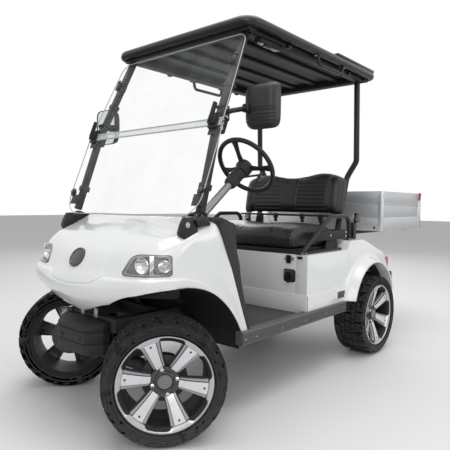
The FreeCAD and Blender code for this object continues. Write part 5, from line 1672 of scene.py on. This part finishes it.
FOLD_X, FOLD_Z = 1432, 1310
low_lean = math.atan2(1556 - FOLD_X, FOLD_Z - 922)
high_lean = math.atan2(FOLD_X - 1212, 1775 - FOLD_Z)
LOWER_BRACKET = (
    (1566, 832), (1648, 812), (1662, 838), (1650, 872), (1632, 904), (1604, 906), (1590, 880),
    (1570, 862),
)
UPPER_BRACKET = ((1500, 868), (1574, 862), (1592, 892), (1560, 916), (1512, 900))
grips = []
for side in (1, -1):
    clamp_y = side * 447
    fold_block = [
        cube("clamp", (1400, clamp_y - 27, 1276), (1470, clamp_y + 27, 1352), powder, 0.007),
        cube("clamp", (1462, clamp_y - 20, 1290), (1486, clamp_y + 20, 1334), moulded, 0.006),
        cube("lever", (1476, clamp_y - 8, 1300), (1494, clamp_y + 8, 1392), moulded, 0.004),
        cube("strap", (1404, clamp_y - 25, 1384), (1452, clamp_y + 25, 1400), rubber, 0.004),
        bolt((1430, side * 474, 1322), (0, side, 0), 13, gloss_black, 24),
        bolt((1432, side * 474, 1292), (0, side, 0), 6, zinc),
    ]
    grips.append(leaning(fold_block, (FOLD_X, 0, FOLD_Z), -(low_lean + high_lean) / 2))
    for x, z, lean, tall in ((1340, 1500, high_lean, 26), (1296, 1618, high_lean, 46),
                             (1520, 1034, low_lean, 30)):
        y = side * (442 - (z - FOLD_Z) * 0.052 if z > FOLD_Z else 455)
        clip = cube("clip", (x - 24, y - 21, z - tall / 2), (x + 22, y + 21, z + tall / 2), powder, 0.005)
        grips.append(leaning([clip], (x, 0, z), -lean))
    grips += [
        bolt((1573, side * 480, 1016), (math.cos(low_lean), 0, math.sin(low_lean)), 13, gloss_black, 24),
        bolt((1569, side * 480, 1014), (-math.cos(low_lean), 0, -math.sin(low_lean)), 15, rubber, 24),
        bolt((1300, side * 436, 1652), (math.cos(high_lean), 0, math.sin(high_lean)), 9, gloss_black, 24),
        sheet_metal("bracket", LOWER_BRACKET, side * 428, side * 464, powder, 0.005),
        sheet_metal("bracket", UPPER_BRACKET, side * 436, side * 474, powder, 0.004),
        bolt((1630, side * 464, 872), (0, side, 0), 8, zinc),
    ]
joined("windshield_brackets", grips)

# Door mirrors: moulded housings, domed at the back with grooves across their lower third, on stout arms;
# the far one is folded round, so that its glass looks forward, as the photo shows it.
mirror_glass = surface("mirror_glass", (0.62, 0.66, 0.66), (0.70, 0.73, 0.72), 0.05, patch=4, amount=0.3,
                       spread=0.03, metallic=1.0, relief=0.01)
housing_black = surface("mirror_housing", (0.017, 0.0175, 0.019), (0.036, 0.036, 0.038), 0.34, patch=8,
                        spread=0.12, grain=900, relief=0.25, gleam=0.35)
MIRROR_X, MIRROR_Y, MIRROR_Z = 1276, 563, 1405.5
MIRROR_HALF_Y, MIRROR_HALF_Z = 88.5, 102
MIRROR_DEEP = 30
GLASS_SIZE = 0.96
for side, name in ((1, "left"), (-1, "right")):
    forward = side  # the far mirror is folded round

    def housing_vertex(column, row):
        a, b = math.sin(math.pi * (column / 40 - 0.5)), math.sin(math.pi * (row / 72 - 0.5))
        edge = max(abs(a), abs(b), 1e-6)
        swing = max((abs(a / edge) ** 6 + abs(b / edge) ** 6) ** (1 / 6), 1)
        a, b = a / swing, b / swing
        y, z = MIRROR_Y * side + a * MIRROR_HALF_Y, MIRROR_Z + b * MIRROR_HALF_Z
        deep = 60 * (1 - edge ** 7) ** 0.42 - 5 * a * a - 4 * b * b
        if z < 1392 and edge < 0.985:
            deep -= 2.2 + max(3.4 * dip(z - seat, 4.5) for seat in (1374, 1359, 1344, 1329))
        return spot(MIRROR_X - forward * MIRROR_DEEP + forward * max(deep, 0), y, z)

    shell = grid("housing", 40, 72, housing_vertex)
    face_out(shell, Vector((forward, 0, 0)))
    modified(shell, "SOLIDIFY", thickness=0.0025, offset=-1)
    paint(shell, housing_black)
    pieces = [shell]
    glass = primitive(bpy.ops.mesh.primitive_cylinder_add, "glass", vertices=64, radius=1, depth=1)
    for vertex in glass.data.vertices:
        a, b = rounded_power(math.atan2(vertex.co.y, vertex.co.x), 5.5)
        depth = MIRROR_DEEP - (3.0 if vertex.co.z > 0 else 7.5)
        vertex.co = spot(MIRROR_X - forward * depth, MIRROR_Y * side + a * MIRROR_HALF_Y * GLASS_SIZE,
                         MIRROR_Z + b * MIRROR_HALF_Z * GLASS_SIZE)
    faced(glass)
    paint(glass, mirror_glass)
    pieces += [
        glass,
        tube("arm", [(1400, side * 452, 1362, 0), (1390, side * 486, 1372, 14),
                     (1300, side * 505, 1396, 0)], 11, powder, 16),
        cube("socket", (1292, side * 505 - 18, 1376), (1318, side * 505 + 18, 1414), powder, 0.006),
        cube("bracket", (1376, side * 458 - 10, 1330), (1418, side * 458 + 10, 1398), powder, 0.005),
        bolt((1396, side * 468, 1346), (0, side, 0), 7, zinc),
        bolt((1398, side * 468, 1384), (0, side, 0), 7, zinc),
    ]
    joined("mirror_" + name, pieces, replaces="mirrors" if side > 0 else None, smooth=45)

# Roof: one black thermoformed canopy, its rim rolled over, a raised band across its rear, shallow gutters
# on top and stiffening ribs pressed into its underside, with a grab bar and a switch box below.
roof_black = surface("roof_black", (0.0125, 0.013, 0.0145), (0.028, 0.028, 0.029), 0.24, patch=3,
                     amount=0.5, spread=0.1, dust=0.25, dust_top=0.6, grain=420, relief=0.12, gleam=0.4)
roof_under = surface("roof_underside", (0.0120, 0.0116, 0.0105), (0.026, 0.025, 0.022), 0.40, patch=3,
                     amount=0.6, spread=0.15, grain=420, relief=0.2, gleam=0.2)
ROOF_PROFILE = [
    (52, 1816), (46, 1815), (42, 1811), (40, 1804), (38, 1796), (33, 1791), (26, 1789), (16, 1789.4),
    (9, 1792), (3.5, 1797.5), (0.6, 1805), (0, 1812), (1.6, 1820), (6, 1827.5), (14, 1833.5),
    (26, 1837.5), (44, 1840), (80, 1841.5), (84, 1838.5), (104, 1838.5), (108, 1842), (180, 1843),
]
# columns: x of the roof's end, corner radius, side in x, side in y
ROOF_CORNERS = ((1285, 90, 1, 1), (-88, 70, -1, 1), (-88, 70, -1, -1), (1285, 90, 1, -1))
ROOF_HALF = 503
ROOF_COLUMNS = 64
LEAST_R = 10


def roof_corner(corner, inset, turn):
    """A point (x, y) of a rounded corner, an inset in from the roof's edge; turn is in degrees."""
    end_x, radius, side_x, side_y = ROOF_CORNERS[corner]
    reach = max(radius - inset, LEAST_R)
    x = end_x - side_x * radius + math.cos(math.radians(turn)) * reach
    y = side_y * (ROOF_HALF - radius) + math.sin(math.radians(turn)) * reach
    if inset > radius - LEAST_R:
        x -= side_x * (inset - radius + LEAST_R)
        y -= side_y * (inset - radius + LEAST_R)
    return x, y


def roof_vertex(column, row):
    """Twelve steps round each corner, then four along the edge to the next one."""
    inset, z = ROOF_PROFILE[row]
    corner, step = divmod(column % ROOF_COLUMNS, ROOF_COLUMNS // 4)
    x, y = roof_corner(corner, inset, 90 * corner + 90 * min(step, 12) / 12)
    if step > 12:
        share = (step - 12) / 4
        following = (corner + 1) % 4
        next_x, next_y = roof_corner(following, inset, 90 * following)
        x, y = x + (next_x - x) * share, y + (next_y - y) * share
    return spot(x, y, z)


canopy = grid("canopy", ROOF_COLUMNS, len(ROOF_PROFILE) - 1, roof_vertex)
faced(canopy, CLOSE, cap=True)
paint(canopy, roof_black)
paint(canopy, roof_under)
for face in canopy.data.polygons:
    if face.center.z < 1.8175 and face.normal.z < -0.2 and abs(face.center.y) < 0.468:
        face.material_index = 1
roof = [canopy, cube("rear_band", (-74, -489, 1836), (428, 489, 1856.5), roof_black, 0.009)]
for y in (-260, 0, 260):
    roof.append(cube("swage", (470, y - 70, 1840), (1180, y + 70, 1846.5), roof_black, 0.003))
for x in (-40, 1180):
    roof.append(cube("brace", (x, -462, 1775), (x + 60, 462, 1817), roof_under, 0.006))
for y in (-418, 418):
    roof.append(cube("rail", (-20, y - 30, 1775), (1215, y + 30, 1817), roof_under, 0.006))
for y in (-250, -84, 84, 250):
    roof.append(cube("rib", (20, y - 22, 1801), (1181, y + 24, 1817), roof_under, 0.004))
joined("roof_detail", roof, replaces="roof", smooth=38)

bars = []
for side in (1, -1):
    y = side * 480
    handle = [(356, y, 1796, 0), (371, y, 1741, 26), (635, y, 1741, 26), (649, y, 1796, 0)]
    bars.append(tube("bar", handle, 10, powder, 20))
    for x in (356, 649):
        bars += [
            cube("foot", (x - 24, y - 17, 1784), (x + 24, y + 17, 1792), powder, 0.003),
            bolt((x + (14 if x > 500 else -14), y, 1784), (0, 0, -1), 5, zinc),
        ]
    bars += [
        cube("clip", (880, side * 452 - 12, 1770), (908, side * 452 + 12, 1792), powder, 0.004),
        cube("clip", (210, side * 452 - 12, 1770), (238, side * 452 + 12, 1792), powder, 0.004),
    ]
joined("grab_bars", bars, replaces="roof_handles", smooth=45)
unit = [
    cube("case", (930, 396, 1752), (1118, 440, 1776), moulded, 0.006),
    cube("face", (950, 404, 1748), (1060, 432, 1753), gloss_black, 0.002),
    bolt((1088, 418, 1752), (0, 0, -1), 9, zinc, 24),
]
for x in (942, 1108):
    unit.append(bolt((x, 418, 1752), (0, 0, -1), 4, zinc))
joined("roof_switch_box", unit)


# Cargo box: anodised aluminium planks between posts, bolted along the bottom to a ribbed floor, with red
# plastic catches at the top of the drop tailgate, carried on two black steel bearers.
aluminium = surface("box_aluminium", (0.50, 0.515, 0.53), (0.62, 0.63, 0.64), 0.38, patch=7, amount=0.6,
                    spread=0.12, dust=0.25, dust_top=0.5, grain=1500, relief=0.08, metallic=0.75,
                    stretch=(1, 1, 12))
post_metal = surface("post_aluminium", (0.66, 0.68, 0.69), (0.74, 0.75, 0.76), 0.34, patch=9, spread=0.1,
                     grain=1500, relief=0.06, metallic=0.7)
catch_red = surface("catch_red", (0.42, 0.012, 0.010), (0.52, 0.05, 0.04), 0.35, patch=30, spread=0.1,
                    grain=700, relief=0.2)
dressed("cargo_floor", aluminium, 0.001)
dressed("cargo_subframe", frame_black, 0.003)


def planks(name, low, high, facing, ends):
    """One wall between two corners: three planks, the middle one set back from the outside."""
    x0, y0 = low
    x1, y1 = high
    out_x, out_y = facing
    pieces = []
    # columns: foot, top, how far the plank is set back
    for z0, z1, back in ((782, 872, 0), (866, 982, 12), (976, 1063, 0)):
        near = (x0 + back * (out_x < 0), y0 + back * (out_y < 0), z0)
        far = (x1 - back * (out_x > 0), y1 - back * (out_y > 0), z1)
        pieces.append(cube(name, near, far, aluminium, 0.0022))
    for z in (873, 975):
        if out_x:
            x = (x1 if out_x > 0 else x0) - out_x * 5.5
            line = [(x, y0 + ends, z, 0), (x, y1 - ends, z, 0)]
        else:
            y = (y1 if out_y > 0 else y0) - out_y * 5.5
            line = [(x0 + ends, y, z, 0), (x1 - ends, y, z, 0)]
        pieces.append(tube("bead", line, 5, post_metal, 8))
    wide_x, wide_y = (0.5, 0) if out_x else (0, 0.5)
    low, high = (x0 - wide_x, y0 - wide_y, 1058), (x1 + wide_x, y1 + wide_y, 1063.2)
    pieces.append(cube("cap", low, high, post_metal, 0.002))
    return pieces


walls = planks("front", (-263, -492), (-239, 492), (1, 0), 30)
for side in (1, -1):
    low, high = sorted((side * 468, side * 492))
    walls += planks("side", (-989, low), (-239, high), (0, side), 34)
    y = side * 480
    for x0, x1 in ((-273, -237.5), (-989, -958)):
        walls.append(cube("post", (x0, y - 13.5, 781), (x1, y + 13.5, 1063.4), post_metal, 0.003))
    for x in (-300, -470, -640, -800, -930):
        walls.append(bolt((x, side * 492, 800), (0, side, 0), 5.5, zinc))
    for z in (812, 1030):
        walls += [
            bolt((-255, side * 493.5, z), (0, side, 0), 4.5, zinc, 12),
            bolt((-974, side * 493.5, z - 20), (0, side, 0), 4.5, zinc, 12),
        ]
for y in (-440, -300, -150, 0, 150, 300, 440):
    walls.append(bolt((-239, y, 806), (1, 0, 0), 6, gloss_black))
for y in (-470, 470):
    for z in (824, 1020):
        walls.append(bolt((-237.5, y, z), (1, 0, 0), 4.5, zinc, 12))
joined("cargo_walls_detail", walls, replaces="cargo_walls")

catches = []
for side in (1, -1):
    catches += [
        cube("plate", (-986, side * 494 - 2, 1010), (-942, side * 494 + 2.5, 1058), zinc, 0.001),
        cube("lever", (-976, side * 501 - 6, 1036), (-948, side * 501 + 6, 1066), catch_red, 0.004),
        cube("lever", (-962, side * 501 - 5, 1006), (-950, side * 501 + 5, 1046), catch_red, 0.003),
        tube("wire", [(-984, side * 500, 1020, 0), (-966, side * 505, 1024, 6),
                      (-952, side * 503, 1052, 0)], 2.2, zinc, 8),
        bolt((-955, side * 497, 1016), (0, side, 0), 4, zinc),
    ]
joined("tailgate_catches", catches)

gate = planks("gate", (-1011, -492), (-991, 492), (-1, 0), 30)
for side in (1, -1):
    y = side * 478
    gate.append(cube("post", (-1012.5, y - 15, 782), (-991, y + 14, 1063.4), post_metal, 0.003))
    for z in (812, 1030):
        gate.append(bolt((-1012.5, y, z), (-1, 0, 0), 4.5, zinc, 12))
for y in (-350, 0, 350):
    barrel = spun("barrel", [(5.1, -30), (9, -30), (9, 30), (5.1, 30)], 24)
    placed(barrel, spot(-1006, y, 770))
    paint(barrel, zinc)
    gate += [
        barrel,
        cube("leaf", (-1011, y - 30, 776), (-1001, y + 30, 783), zinc, 0.0005),
        cube("strap", (-1013, y - 20, 783), (-1010.5, y + 20, 850), zinc, 0.0008),
    ]
    for z in (804, 834):
        gate.append(bolt((-1013, y, z), (-1, 0, 0), 4.5, zinc))
joined("tailgate_detail", gate, body="tailgate", replaces="tailgate")


low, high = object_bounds()
{"cad": [list(cad_low), list(cad_high)], "visual": [list(low), list(high)]}
